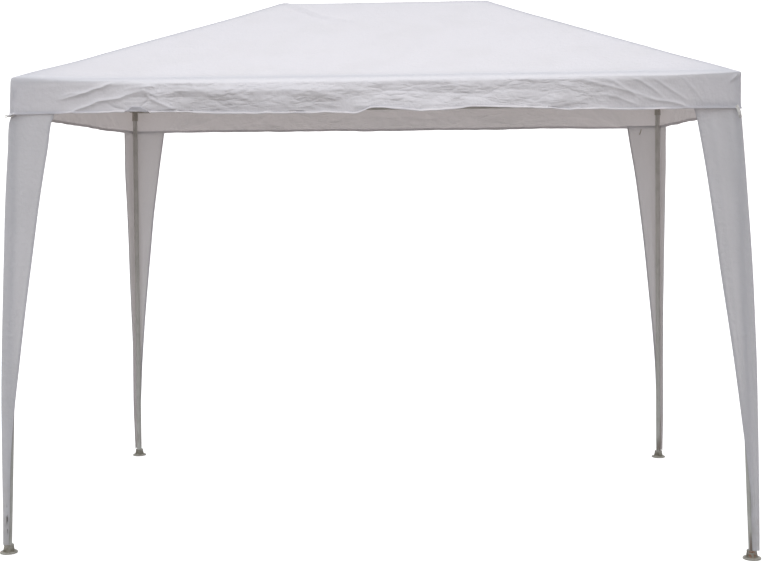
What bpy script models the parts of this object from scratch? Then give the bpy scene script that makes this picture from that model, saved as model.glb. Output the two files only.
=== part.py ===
"""Garden canopy tent, 3 m by 2 m: a plug-together frame of steel tubes under a hipped cloth canopy.

Metres, +Z up. X runs along the ridge, the front is at -Y, and the origin is on the ground below
the middle of the ridge. The canopy's outer size drives everything: the tubes' centre lines are
worked out from it, and each tube ends inside a socket of the fitting at its end.
"""

import math

import bmesh
import bpy
from mathutils import Vector

# Canopy, measured on the outside of the cloth
CANOPY_LENGTH = 3.0
CANOPY_DEPTH = 2.0
EAVE_HEIGHT = 2.0
RIDGE_RISE = 0.44
VALANCE_DROP = 0.145
CLOTH = 0.002

# Leg covers: an angle of cloth at each corner that narrows towards the foot
COVER_TOP_WIDTH = 0.184
COVER_KNEE_WIDTH = 0.047
COVER_FOOT_WIDTH = 0.014
COVER_KNEE_HEIGHT = 0.45
COVER_FOOT_HEIGHT = 0.06
COVER_BOW = 0.02

# Tubes: each joint in a run is a reduced spigot pushed into the next tube
TUBE_RADIUS = 0.0125
TUBE_WALL = 0.001
SPIGOT_LENGTH = 0.05
LEG_JOINT_HEIGHT = 0.93
LEG_SPLAY = {"front": 0.090, "back": 0.015}

# Plastic fittings
SOCKET_RADIUS = 0.016
HUB_RADIUS = 0.0168
SLEEVE_START = 0.003
EAVE_SOCKET = (0.042, 0.088)
LEG_SOCKET = (0.021, 0.060)
RIDGE_SOCKET = (0.030, 0.074)
FOOT_RADIUS = 0.037
FOOT_RIM = 0.006
FOOT_HEIGHT = 0.036
FOOT_FLOOR = 0.010

GAP = 0.0003
EAVE_CLEARANCE = 0.006
ROUND_SIDES = 24
COVER_STEPS = 4
SHARP_ANGLE = math.radians(35)

# Worked out from the sizes above
HALF_LENGTH = CANOPY_LENGTH / 2
HALF_DEPTH = CANOPY_DEPTH / 2
SLOPE = RIDGE_RISE / HALF_DEPTH
CLOTH_UPRIGHT = CLOTH * math.hypot(1, SLOPE)
EAVE_INSET = CLOTH + EAVE_CLEARANCE + SOCKET_RADIUS
AXIS_DEPTH = (CLOTH + GAP + HUB_RADIUS) * math.hypot(1, SLOPE)
AXIS_X = HALF_LENGTH - EAVE_INSET
AXIS_Y = HALF_DEPTH - EAVE_INSET
AXIS_EAVE_Z = EAVE_HEIGHT + SLOPE * EAVE_INSET - AXIS_DEPTH
AXIS_RIDGE_Z = EAVE_HEIGHT + RIDGE_RISE - AXIS_DEPTH
HALF_RIDGE = HALF_LENGTH - HALF_DEPTH
VALANCE_BOTTOM = EAVE_HEIGHT - VALANCE_DROP
COVER_TOP = VALANCE_BOTTOM - GAP

SIDES = {"left": -1, "right": 1}
ENDS = {"front": -1, "back": 1}


def clear_scene():
    for obj in list(bpy.data.objects):
        bpy.data.objects.remove(obj, do_unlink=True)


def finish(name, colour, roughness, metallic=0.0):
    """A Principled material."""
    material = bpy.data.materials.new(name)
    material.use_nodes = True
    shader = material.node_tree.nodes["Principled BSDF"]
    shader.inputs["Base Color"].default_value = (*colour, 1.0)
    shader.inputs["Roughness"].default_value = roughness
    shader.inputs["Metallic"].default_value = metallic
    return material


def group(name):
    """An empty that a family of parts is parented to."""
    empty = bpy.data.objects.new(name, None)
    bpy.context.scene.collection.objects.link(empty)
    return empty


def add_object(name, bm, material, parent=None, start=(0, 0, 0), along=None):
    """Links the mesh as an object. If a direction is given, its own Z axis is turned to it."""
    bmesh.ops.recalc_face_normals(bm, faces=bm.faces)
    mesh = bpy.data.meshes.new(name)
    bm.to_mesh(mesh)
    bm.free()
    mesh.materials.append(material)
    mesh.shade_smooth()
    mesh.set_sharp_from_angle(angle=SHARP_ANGLE)
    obj = bpy.data.objects.new(name, mesh)
    obj.location = start
    if along is not None:
        obj.rotation_mode = "QUATERNION"
        obj.rotation_quaternion = Vector(along).to_track_quat("Z", "Y")
    obj.parent = parent
    bpy.context.scene.collection.objects.link(obj)
    return obj


def turned(profile):
    """A solid of revolution about Z, from (radius, height) pairs. A profile that starts on the
    axis also ends there; any other is a closed loop, and makes a ring or a tube."""
    bm = bmesh.new()
    points = [bm.verts.new((radius, 0, height)) for radius, height in profile]
    pairs = list(zip(points, points[1:]))
    if profile[0][0] > 0:
        pairs.append((points[-1], points[0]))
    edges = [bm.edges.new(pair) for pair in pairs]
    bmesh.ops.spin(
        bm,
        geom=points + edges,
        cent=(0, 0, 0),
        axis=(0, 0, 1),
        angle=math.tau,
        steps=ROUND_SIDES,
        use_merge=True,
    )
    bmesh.ops.remove_doubles(bm, verts=bm.verts, dist=1e-6)
    return bm


def rod(radius, low, high):
    """A solid cylinder about Z, between two heights."""
    return turned([(0, low), (radius, low), (radius, high), (0, high)])


def helper(name, bm, material, start, along):
    """A hidden solid that a Boolean adds or takes away."""
    obj = add_object(name, bm, material, None, start, along)
    obj.hide_render = True
    obj.display_type = "WIRE"
    return obj


def combine(obj, other, operation, solver="EXACT"):
    modifier = obj.modifiers.new(f"{operation.lower()}_{other.name}", "BOOLEAN")
    modifier.operation = operation
    modifier.solver = solver
    modifier.object = other


def tube(name, start, end, material, parent, spigot=False):
    """A hollow tube from start to end. A spigot runs on past the end, into the next tube."""
    along = Vector(end) - Vector(start)
    length = along.length
    bore = TUBE_RADIUS - TUBE_WALL
    profile = [(bore, 0), (TUBE_RADIUS, 0), (TUBE_RADIUS, length)]
    if spigot:
        neck = bore - GAP
        tip = length + SPIGOT_LENGTH
        inside = neck - TUBE_WALL
        profile += [(neck, length), (neck, tip), (inside, tip)]
        profile += [(inside, length - TUBE_WALL), (bore, length - 3 * TUBE_WALL)]
    else:
        profile += [(bore, length)]
    return add_object(name, turned(profile), material, parent, start, along)


def run_of_tubes(names, start, end, join_at, material, parent):
    """Two tubes in line. The first one's spigot fills the joint, a share of the way along."""
    start, end = Vector(start), Vector(end)
    joint = start.lerp(end, join_at)
    step = (end - start).normalized() * GAP
    tube(names[0], start, joint, material, parent, spigot=True)
    tube(names[1], joint + step, end, material, parent)


def fitting(name, centre, arms, material, parent):
    """A hub with a socket for each arm. An arm is a direction with the distances from the centre
    at which its bore starts and its mouth ends. The exact solver leaves open edges where several
    sleeves cross in the hub, so these Booleans use the manifold one."""
    ball = bmesh.new()
    bmesh.ops.create_icosphere(ball, subdivisions=3, radius=HUB_RADIUS)
    hub = add_object(name, ball, material, parent, centre)
    bores = []
    for index, (direction, (bore_start, mouth)) in enumerate(arms):
        sleeve = rod(SOCKET_RADIUS, SLEEVE_START, mouth)
        hole = rod(TUBE_RADIUS + GAP, bore_start, 2 * mouth)
        arm = helper(f"{name}_arm_{index}", sleeve, material, centre, direction)
        bores.append(helper(f"{name}_bore_{index}", hole, material, centre, direction))
        combine(hub, arm, "UNION", "MANIFOLD")
    for bore in bores:
        combine(hub, bore, "DIFFERENCE", "MANIFOLD")
    return hub


def eave_node(side, end):
    """Where the tube centre lines meet at a corner of the eaves."""
    return Vector((SIDES[side] * AXIS_X, ENDS[end] * AXIS_Y, AXIS_EAVE_Z))


def ridge_node(side):
    return Vector((SIDES[side] * HALF_RIDGE, 0, AXIS_RIDGE_Z))


def foot_point(side, end):
    """Where a leg's centre line meets the ground."""
    x = SIDES[side] * (AXIS_X + LEG_SPLAY[end])
    return Vector((x, ENDS[end] * AXIS_Y, 0))


def stop_short(start, end, from_start, from_end):
    """The line between two nodes, less the distances that its tube keeps from each of them."""
    along = (end - start).normalized()
    return start + along * (from_start + GAP), end - along * (from_end + GAP)


def build_corner_fittings(material, parent):
    for end in ENDS:
        for side in SIDES:
            node = eave_node(side, end)
            arms = [
                ((-SIDES[side], 0, 0), EAVE_SOCKET),
                ((0, -ENDS[end], 0), EAVE_SOCKET),
                (ridge_node(side) - node, EAVE_SOCKET),
                (foot_point(side, end) - node, LEG_SOCKET),
            ]
            fitting(f"{end}_{side}_corner_fitting", node, arms, material, parent)


def build_ridge_fittings(material, parent):
    for side in SIDES:
        node = ridge_node(side)
        arms = [((-SIDES[side], 0, 0), RIDGE_SOCKET)]
        arms += [(eave_node(side, end) - node, RIDGE_SOCKET) for end in ENDS]
        fitting(f"{side}_ridge_fitting", node, arms, material, parent)


def build_eave_tubes(material, parent):
    for end in ENDS:
        ends = stop_short(
            eave_node("left", end), eave_node("right", end), EAVE_SOCKET[0], EAVE_SOCKET[0]
        )
        names = [f"{end}_eave_tube_{side}" for side in SIDES]
        run_of_tubes(names, *ends, 0.5, material, parent)
    for side in SIDES:
        ends = stop_short(
            eave_node(side, "front"), eave_node(side, "back"), EAVE_SOCKET[0], EAVE_SOCKET[0]
        )
        names = [f"{side}_eave_tube_{end}" for end in ENDS]
        run_of_tubes(names, *ends, 0.5, material, parent)


def build_roof_tubes(material, parent):
    ends = stop_short(
        ridge_node("left"), ridge_node("right"), RIDGE_SOCKET[0], RIDGE_SOCKET[0]
    )
    tube("ridge_tube", *ends, material, parent)
    for end in ENDS:
        for side in SIDES:
            ends = stop_short(
                eave_node(side, end), ridge_node(side), EAVE_SOCKET[0], RIDGE_SOCKET[0]
            )
            tube(f"{end}_{side}_hip_tube", *ends, material, parent)


def build_legs(material, parent):
    for end in ENDS:
        for side in SIDES:
            names = [f"{end}_{side}_leg_{half}" for half in ("lower", "upper")]
            foot, node = foot_point(side, end), eave_node(side, end)
            ends = stop_short(foot, node, FOOT_FLOOR, LEG_SOCKET[0])
            run_of_tubes(names, *ends, LEG_JOINT_HEIGHT / AXIS_EAVE_Z, material, parent)


def build_feet(material, parent):
    """A round plate with a tapered socket, bored along the leg."""
    mouth = TUBE_RADIUS + GAP + 0.0028
    waist = mouth + 0.004
    profile = [
        (0, 0),
        (FOOT_RADIUS - 0.0015, 0),
        (FOOT_RADIUS, 0.0015),
        (FOOT_RADIUS, FOOT_RIM - 0.002),
        (FOOT_RADIUS - 0.002, FOOT_RIM),
        (waist + 0.003, FOOT_RIM + 0.002),
        (waist, FOOT_RIM + 0.005),
        (mouth, FOOT_HEIGHT - 0.001),
        (mouth - 0.001, FOOT_HEIGHT),
        (0, FOOT_HEIGHT),
    ]
    for end in ENDS:
        for side in SIDES:
            name = f"{end}_{side}_foot"
            point = foot_point(side, end)
            foot = add_object(name, turned(profile), material, parent, point)
            along = eave_node(side, end) - point
            hole = rod(TUBE_RADIUS + GAP, FOOT_FLOOR, 2 * FOOT_HEIGHT)
            combine(foot, helper(f"{name}_bore", hole, material, point, along), "DIFFERENCE")


def lofted(rings):
    """A solid through closed rings of points, all with the same count, with a cap at each end."""
    bm = bmesh.new()
    loops = [[bm.verts.new(point) for point in ring] for ring in rings]
    for lower, upper in zip(loops, loops[1:]):
        for i in range(len(lower)):
            j = (i + 1) % len(lower)
            bm.faces.new((lower[i], lower[j], upper[j], upper[i]))
    bm.faces.new(loops[0])
    bm.faces.new(loops[-1])
    return bm


def facing(side_name, across, inward, height):
    """A point by its distance along a side of the canopy and inward from that side's face."""
    if side_name in ENDS:
        return (across, ENDS[side_name] * (HALF_DEPTH - inward), height)
    return (SIDES[side_name] * (HALF_LENGTH - inward), across, height)


def half_width(side_name):
    return HALF_LENGTH if side_name in ENDS else HALF_DEPTH


def build_roof_panels(material, parent):
    """Four sloping panels, mitred on the hips and on the ridge."""
    for name in (*ENDS, *SIDES):
        eave = half_width(name) - GAP
        top = eave + GAP - HALF_DEPTH
        run = HALF_DEPTH - GAP
        outline = [(-eave, 0), (eave, 0), (top, run)]
        if top > 0:
            outline.append((-top, run))
        rings = [
            [facing(name, u, v, EAVE_HEIGHT + SLOPE * v - drop) for u, v in outline]
            for drop in (CLOTH_UPRIGHT, 0)
        ]
        add_object(f"{name}_roof_panel", lofted(rings), material, parent)


def build_valances(material, parent):
    """An upright band under each eave, mitred at the corners and cut to the roof's underside."""
    for name in (*ENDS, *SIDES):
        width = half_width(name) - GAP
        outline = [(-width, 0), (width, 0), (width - CLOTH, CLOTH), (CLOTH - width, CLOTH)]
        under_roof = EAVE_HEIGHT - CLOTH_UPRIGHT - GAP
        rings = [
            [facing(name, u, v, VALANCE_BOTTOM) for u, v in outline],
            [facing(name, u, v, under_roof + SLOPE * v) for u, v in outline],
        ]
        add_object(f"{name}_valance", lofted(rings), material, parent)


def cover_width(height):
    """How far a leg cover reaches from its corner: it narrows faster above the knee."""
    if height > COVER_KNEE_HEIGHT:
        share = (height - COVER_KNEE_HEIGHT) / (COVER_TOP - COVER_KNEE_HEIGHT)
        return COVER_KNEE_WIDTH + share * (COVER_TOP_WIDTH - COVER_KNEE_WIDTH)
    share = (height - COVER_FOOT_HEIGHT) / (COVER_KNEE_HEIGHT - COVER_FOOT_HEIGHT)
    return COVER_FOOT_WIDTH + share * (COVER_KNEE_WIDTH - COVER_FOOT_WIDTH)


def cover_corner(side, end, height):
    """The outer corner of a leg cover: under the valance's corner above, round the leg below,
    and bowed out between the two along the canopy's length."""
    share = (COVER_TOP - height) / (COVER_TOP - COVER_FOOT_HEIGHT)
    node, foot = eave_node(side, end), foot_point(side, end)
    leg = foot.lerp(node, COVER_FOOT_HEIGHT / AXIS_EAVE_Z)
    reach = SOCKET_RADIUS + GAP + CLOTH
    bow = COVER_BOW * 4 * share * (1 - share)
    x = HALF_LENGTH + share * (abs(leg.x) + reach - HALF_LENGTH) + bow
    y = HALF_DEPTH + share * (abs(leg.y) + reach - HALF_DEPTH)
    return SIDES[side] * x, ENDS[end] * y


def build_leg_covers(material, parent):
    """An angle of cloth round the outside of each leg, sewn under the valance's corner."""
    rise = (COVER_TOP - COVER_KNEE_HEIGHT) / COVER_STEPS
    heights = [COVER_FOOT_HEIGHT]
    heights += [COVER_KNEE_HEIGHT + rise * step for step in range(COVER_STEPS + 1)]
    for end in ENDS:
        for side in SIDES:
            sx, sy = SIDES[side], ENDS[end]
            rings = []
            for height in heights:
                x, y = cover_corner(side, end, height)
                width = cover_width(height)
                angle = [(0, 0), (width, 0), (width, CLOTH), (CLOTH, CLOTH)]
                angle += [(CLOTH, width), (0, width)]
                rings.append([(x - sx * u, y - sy * v, height) for u, v in angle])
            add_object(f"{end}_{side}_leg_cover", lofted(rings), material, parent)


def main():
    clear_scene()
    cloth = finish("white_cloth", (0.80, 0.79, 0.82), 0.75)
    steel = finish("grey_coated_steel", (0.42, 0.42, 0.41), 0.45, 0.3)
    plastic = finish("dark_plastic", (0.07, 0.07, 0.07), 0.55)
    sole = finish("grey_plastic", (0.36, 0.35, 0.31), 0.6)
    frame = group("tube_frame")
    canopy = group("cloth_canopy")
    build_feet(sole, frame)
    build_legs(steel, frame)
    build_corner_fittings(plastic, frame)
    build_ridge_fittings(plastic, frame)
    build_eave_tubes(steel, frame)
    build_roof_tubes(steel, frame)
    build_roof_panels(cloth, canopy)
    build_valances(cloth, canopy)
    build_leg_covers(cloth, canopy)


main()
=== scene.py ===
"""Looks of the garden canopy tent: one sewn canopy, four leg covers, coated tubes, plastic feet.

Metres, +Z up, in the frame's own place. Each side of the canopy has its own flat coordinates:
"along" runs to the right as the side is seen from outside, from its middle, and "down" runs from
the eave line towards the hem.
"""

import math
import random

import bmesh
import bpy
import numpy as np
from mathutils import Matrix, Vector, noise


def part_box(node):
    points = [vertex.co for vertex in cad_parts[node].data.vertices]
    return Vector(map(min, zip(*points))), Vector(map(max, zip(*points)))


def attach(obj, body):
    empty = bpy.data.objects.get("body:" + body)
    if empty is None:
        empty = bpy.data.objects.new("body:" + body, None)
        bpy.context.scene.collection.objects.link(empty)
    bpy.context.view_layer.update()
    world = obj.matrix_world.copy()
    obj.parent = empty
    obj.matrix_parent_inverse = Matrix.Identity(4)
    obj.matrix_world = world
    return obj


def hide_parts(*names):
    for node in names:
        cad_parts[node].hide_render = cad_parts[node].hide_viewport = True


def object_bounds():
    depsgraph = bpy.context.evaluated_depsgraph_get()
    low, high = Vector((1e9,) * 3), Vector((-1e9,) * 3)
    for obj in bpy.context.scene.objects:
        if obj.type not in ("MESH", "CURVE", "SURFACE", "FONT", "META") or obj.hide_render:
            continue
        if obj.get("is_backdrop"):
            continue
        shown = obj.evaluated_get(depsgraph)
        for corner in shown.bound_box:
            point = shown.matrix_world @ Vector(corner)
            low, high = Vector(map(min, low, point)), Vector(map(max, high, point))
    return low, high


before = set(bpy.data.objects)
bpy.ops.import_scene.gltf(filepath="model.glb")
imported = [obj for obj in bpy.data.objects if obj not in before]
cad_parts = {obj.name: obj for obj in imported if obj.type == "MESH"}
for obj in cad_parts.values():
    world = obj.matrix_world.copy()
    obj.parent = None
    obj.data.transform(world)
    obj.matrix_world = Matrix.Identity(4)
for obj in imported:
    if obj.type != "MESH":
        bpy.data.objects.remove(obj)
CAD_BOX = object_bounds()
BODY = "root"

# Canopy, from the frame
HALF_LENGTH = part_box("right_valance")[1].x
HALF_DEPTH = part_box("back_valance")[1].y
HEM_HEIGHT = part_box("front_valance")[0].z
RIDGE_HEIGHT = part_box("front_roof_panel")[1].z
EAVE_HEIGHT = 2.0
SLOPE = (RIDGE_HEIGHT - EAVE_HEIGHT) / HALF_DEPTH
HALF_RIDGE = HALF_LENGTH - HALF_DEPTH

# Canopy, its cloth
CORNER_RADIUS = 0.012
EAVE_RADIUS = 0.007
EAVE_HANG_REACH = 0.022
EAVE_TUBE_LIFT = 0.0035
PLAIN_EAVE_HANG = (0.012, 0.007)
PLAIN_HEM = 0.142
HEM_DEPTH = 0.013
HEM_LAYERS = 0.0022
HEM_KICK = {"front": 0.84, "back": 0.34, "left": 0.34, "right": 0.34}
HEM_KICK_AT_COVERS = 0.22
RIDGE_SOFTNESS = 0.017
FITTING_SOFTNESS = 0.014
PANEL_SAG = 0.014
TUBE_SAG = 0.0026
EAVE_SAG = 0.0019
ROOF_WAVES = 0.0016
ROOF_RIPPLES = 0.0007
BELLY_LEAN = {"right": 0.18, "back": 0.39, "left": 0.18}
BEAK_LEAN = 0.055
CRUMPLE_SLOPE = {"front": 0.40, "back": 0.55, "left": 0.45, "right": 0.45}
COVER_ZONE = 0.19
FAN_CREASES = 7
FAN_FOCUS = 0.143
FAN_GROWTH = {"right": (0.4, 1.0), "back": (1.5, 1.6), "left": (0.4, 1.0)}
CRUMPLE_COUNT = {"right": 11, "back": 18, "left": 11}
FACET_WAVES = 7
FACET_SIZE = 0.036
PUCKER = 0.00025
PUCKER_PITCH = 0.011

# Canopy, its mesh
SIDE_NAMES = ("front", "right", "back", "left")
SIDE_COLUMNS = {"front": 780, "right": 208, "back": 376, "left": 208}
ARC_COLUMNS = 8
UPPER_ROWS = 34
HEM_ROWS = 3
EAVE_ROWS = 4
ROOF_STEPS = (2, 4)
ROOF_GAP = 0.024

# Tubes and the points where their centre lines meet
TUBE_RADIUS = 0.0125
AXIS_X = 1.476
AXIS_Y = 0.976
AXIS_EAVE_HEIGHT = 1.98969
AXIS_RIDGE_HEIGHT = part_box("ridge_tube")[1].z - TUBE_RADIUS
LEG_SPLAY = {"front": 0.090, "back": 0.015}
LEG_JOINT_HEIGHT = 0.93
EAVE_SOCKET = 0.088
LEG_SOCKET = 0.060
RIDGE_SOCKET = 0.074
SOCKET_REACH = 0.09

SIDES = {
    "front": (np.array([0.0, -1.0]), np.array([1.0, 0.0])),
    "right": (np.array([1.0, 0.0]), np.array([0.0, 1.0])),
    "back": (np.array([0.0, 1.0]), np.array([-1.0, 0.0])),
    "left": (np.array([-1.0, 0.0]), np.array([0.0, -1.0])),
}
HALF_SPAN = {"front": HALF_LENGTH, "back": HALF_LENGTH, "left": HALF_DEPTH, "right": HALF_DEPTH}

# Creases of the front valance: height, width, then points as (along, down). Less than 0 is a valley.
FRONT_FOLDS = [
    (0.0086, 0.0065, [
        (-1.290, 0.077), (-1.175, 0.049), (-1.099, 0.025), (-1.072, 0.014), (-1.020, 0.000),
    ]),
    (0.0038, 0.0055, [(-1.290, 0.066), (-1.240, 0.052), (-1.160, 0.050)]),
    (0.0103, 0.0080, [
        (-1.266, 0.138), (-1.200, 0.111), (-1.130, 0.087), (-1.032, 0.073), (-0.965, 0.051), (-0.930, 0.048),
    ]),
    (0.0069, 0.0050, [
        (-0.935, 0.046), (-0.920, 0.055), (-0.901, 0.076), (-0.859, 0.091), (-0.800, 0.118),
    ]),
    (0.0038, 0.0044, [(-1.010, 0.040), (-0.950, 0.030), (-0.905, 0.036), (-0.880, 0.056)]),
    (-0.0057, 0.0036, [(-1.085, 0.090), (-1.066, 0.105), (-1.032, 0.114), (-1.000, 0.121)]),
    (0.0048, 0.0048, [(-0.932, 0.045), (-0.902, 0.056), (-0.883, 0.061), (-0.870, 0.074)]),
    (0.0052, 0.0050, [
        (-0.950, 0.034), (-0.908, 0.031), (-0.892, 0.029), (-0.880, 0.040), (-0.868, 0.070),
    ]),
    (-0.0041, 0.0036, [(-0.952, 0.112), (-0.924, 0.092), (-0.905, 0.078)]),
    (0.0044, 0.0088, [(-0.790, -0.004), (-0.751, 0.004), (-0.706, 0.050), (-0.640, 0.062)]),
    (0.0033, 0.0066, [(-0.580, 0.055), (-0.527, 0.069), (-0.486, 0.082), (-0.453, 0.103)]),
    (-0.0038, 0.0050, [(-0.640, 0.080), (-0.600, 0.100), (-0.545, 0.120)]),
    (0.0029, 0.0060, [(-0.400, 0.078), (-0.350, 0.095), (-0.300, 0.118)]),
    (-0.0020, 0.0055, [(-0.250, 0.062), (-0.120, 0.056), (-0.010, 0.075)]),
    (0.0018, 0.0050, [(-0.190, 0.045), (-0.060, 0.050), (0.020, 0.050)]),
    (-0.0031, 0.0055, [(-0.035, 0.055), (0.146, 0.052), (0.322, 0.062), (0.497, 0.066)]),
    (-0.0026, 0.0044, [(0.520, 0.052), (0.630, 0.053), (0.717, 0.061)]),
    (0.0015, 0.0042, [(0.460, 0.040), (0.560, 0.034), (0.690, 0.042)]),
    (-0.0018, 0.0042, [(0.100, 0.028), (0.240, 0.032), (0.330, 0.026)]),
    (-0.0020, 0.0042, [(0.060, 0.096), (0.130, 0.097), (0.210, 0.104)]),
    (-0.0020, 0.0042, [(0.480, 0.113), (0.560, 0.106), (0.640, 0.098)]),
    (-0.0024, 0.0042, [(0.586, 0.128), (0.640, 0.124), (0.700, 0.114)]),
    (0.0018, 0.0044, [(0.700, 0.070), (0.760, 0.086), (0.800, 0.104)]),
    (0.0049, 0.0055, [(0.834, 0.010), (0.971, 0.042), (1.064, 0.067), (1.155, 0.095)]),
    (0.0042, 0.0044, [(0.900, 0.008), (0.982, 0.020), (1.040, 0.055), (1.111, 0.102)]),
    (0.0038, 0.0044, [(0.930, 0.070), (1.010, 0.088), (1.090, 0.118)]),
    (0.0046, 0.0044, [(1.040, 0.002), (1.092, 0.020), (1.153, 0.058), (1.199, 0.098)]),
    (0.0042, 0.0044, [(1.130, 0.004), (1.164, 0.021), (1.233, 0.069), (1.285, 0.104)]),
    (0.0055, 0.0050, [(1.100, 0.088), (1.199, 0.103), (1.252, 0.116), (1.305, 0.143)]),
    (0.0021, 0.0042, [(1.262, 0.010), (1.309, 0.060), (1.349, 0.117)]),
    (0.0050, 0.0042, [(1.452, 0.036), (1.468, 0.022), (1.490, 0.004)]),
    (-0.0030, 0.0036, [(1.462, 0.044), (1.476, 0.034), (1.494, 0.016)]),
    (0.0050, 0.0050, [(-1.498, -0.004), (-1.487, 0.040), (-1.489, 0.080), (-1.478, 0.150)]),
    (-0.0024, 0.0036, [(-1.476, 0.004), (-1.470, 0.040), (-1.466, 0.100)]),
]

# How far the front valance leans out: along, then at the eave, in the upper part and in the lower part
FRONT_LEANS = [
    (-1.50, 0.0, 0.0, 0.0), (-1.32, 0.0, 0.0, 0.0), (-1.10, 0.30, 0.05, 0.05), (-0.885, 0.75, 0.28, 0.03),
    (-0.64, 0.92, 0.6, -0.08), (-0.4, 0.95, 0.68, -0.03), (-0.23, 1.0, 0.7, -0.02), (-0.1, 1.0, 0.54, 0.08),
    (0.016, 0.90, 0.38, 0.32), (0.14, 0.95, 0.24, 0.40), (0.26, 0.75, 0.17, 0.40), (0.43, 0.68, 0.17, 0.42),
    (0.59, 0.70, 0.20, 0.34), (0.755, 0.55, 0.16, 0.20), (0.92, 0.25, 0.07, 0.09), (1.08, 0.18, -0.02, 0.02),
    (1.25, 0.05, -0.02, 0.0), (1.35, 0.0, 0.0, 0.0), (1.50, 0.0, 0.0, 0.0),
]

# How far the front eave hangs beyond and below its plane: along, out and down
FRONT_EAVE_HANG = [
    (-1.50, 0.0, 0.0), (-1.30, 0.001, 0.0005), (-1.10, 0.004, 0.002), (-0.885, 0.012, 0.006),
    (-0.68, 0.018, 0.0095), (-0.31, 0.025, 0.0145), (-0.10, 0.022, 0.0135), (0.10, 0.019, 0.0107),
    (0.51, 0.019, 0.0096), (0.92, 0.0175, 0.0088), (1.33, 0.014, 0.0075), (1.43, 0.007, 0.004),
    (1.50, 0.0, 0.0),
]

# Height of the front hem below the eave line, as (along, down)
FRONT_HEM = [
    (-1.50, 0.140), (-1.14, 0.137), (-0.90, 0.140), (-0.48, 0.152), (-0.14, 0.154), (-0.045, 0.155),
    (0.012, 0.136), (0.10, 0.139), (0.22, 0.150), (0.30, 0.148), (0.38, 0.138), (0.48, 0.136), (0.62, 0.142),
    (0.80, 0.150), (1.05, 0.150), (1.30, 0.147), (1.50, 0.148),
]

# The flap where the front hem has turned up, as (along, height)
FLAP = [(-1.016, 0.0), (-0.981, 0.024), (-0.941, 0.022), (-0.898, 0.0)]
FLAP_BEND = 0.0024

# Creases of the roof: height, width, then points as (x, y)
ROOF_FOLDS = [
    (0.0055, 0.120, [(-0.500, 0.0), (0.0, 0.0), (0.540, 0.0)]),
    (0.0075, 0.100, [(-1.720, -1.220), (-1.200, -0.700), (-0.760, -0.260)]),
    (0.0100, 0.012, [
        (-0.500, 0.006), (-0.464, -0.013), (-0.367, -0.098), (-0.292, -0.172), (-0.110, -0.257),
    ]),
    (-0.0070, 0.010, [(-0.450, -0.050), (-0.330, -0.165), (-0.250, -0.215)]),
    (0.0030, 0.010, [(-0.268, -0.262), (-0.225, -0.332), (-0.200, -0.380)]),
    (0.0050, 0.012, [(0.405, -0.955), (0.413, -0.985), (0.420, -1.010)]),
    (0.0030, 0.020, [(0.470, 0.010), (0.380, 0.120), (0.230, 0.210)]),
]

# Where the fittings push the roof up: rise, reach, x and y
ROOF_LIFTS = [
    (0.007, 0.30, -1.476, -0.976), (0.005, 0.25, -1.476, 0.976), (0.005, 0.20, 1.476, 0.976),
]

# Leg covers: outer edge and width of each face, as (height, size)
COVER_OVERLAP = 0.017
COVER_SETBACK = 0.0034
COVER_REACH = 0.0183
COVER_FOOT_HEIGHT = 0.038
COVER_CORNER_RADIUS = 0.008
COVER_HEM = 0.009
BACK_COVER_EDGE = [
    (1.90, 1.4962), (1.855, 1.4972), (1.64, 1.505), (1.39, 1.507), (1.09, 1.5075), (0.89, 1.5075),
    (0.68, 1.509), (0.47, 1.5125), (0.26, 1.515), (0.045, 1.513),
]
COVER_EDGES = {
    "front_left": [
        (1.90, 1.4966), (1.866, 1.4980), (1.85, 1.5020), (1.83, 1.5095), (1.80, 1.5140), (1.735, 1.5175),
        (1.64, 1.5255), (1.48, 1.5375), (1.32, 1.546), (1.16, 1.5545), (1.0, 1.5625), (0.83, 1.5705),
        (0.66, 1.5765), (0.50, 1.5790), (0.33, 1.5815), (0.17, 1.583), (0.045, 1.586),
    ],
    "front_right": [
        (1.90, 1.4955), (1.862, 1.4968), (1.845, 1.5000), (1.82, 1.5045), (1.78, 1.5085), (1.735, 1.5125),
        (1.64, 1.5210), (1.48, 1.5340), (1.32, 1.547), (1.16, 1.558), (1.0, 1.5665), (0.83, 1.575),
        (0.66, 1.5805), (0.50, 1.5850), (0.33, 1.589), (0.17, 1.592), (0.045, 1.594),
    ],
    "back_left": BACK_COVER_EDGE,
    "back_right": BACK_COVER_EDGE,
}
COVER_WIDTHS = {
    "front_left": [
        (1.90, 0.188), (1.734, 0.173), (1.42, 0.140), (1.21, 0.119), (1.0, 0.098), (0.79, 0.077),
        (0.577, 0.055), (0.40, 0.040), (0.226, 0.033), (0.12, 0.030), (0.038, 0.027),
    ],
    "front_right": [
        (1.90, 0.190), (1.80, 0.179), (1.60, 0.160), (1.40, 0.146), (1.20, 0.132), (0.99, 0.110),
        (0.785, 0.089), (0.578, 0.067), (0.372, 0.045), (0.268, 0.036), (0.16, 0.034), (0.038, 0.031),
    ],
    "back_left": [
        (1.90, 0.188), (1.58, 0.150), (1.41, 0.127), (1.23, 0.107), (1.0, 0.082), (0.78, 0.061),
        (0.55, 0.045), (0.32, 0.035), (0.20, 0.029), (0.038, 0.025),
    ],
    "back_right": [
        (1.90, 0.190), (1.75, 0.171), (1.58, 0.147), (1.41, 0.125), (1.23, 0.103), (1.0, 0.079),
        (0.78, 0.057), (0.55, 0.041), (0.32, 0.034), (0.20, 0.029), (0.038, 0.025),
    ],
}

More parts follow.
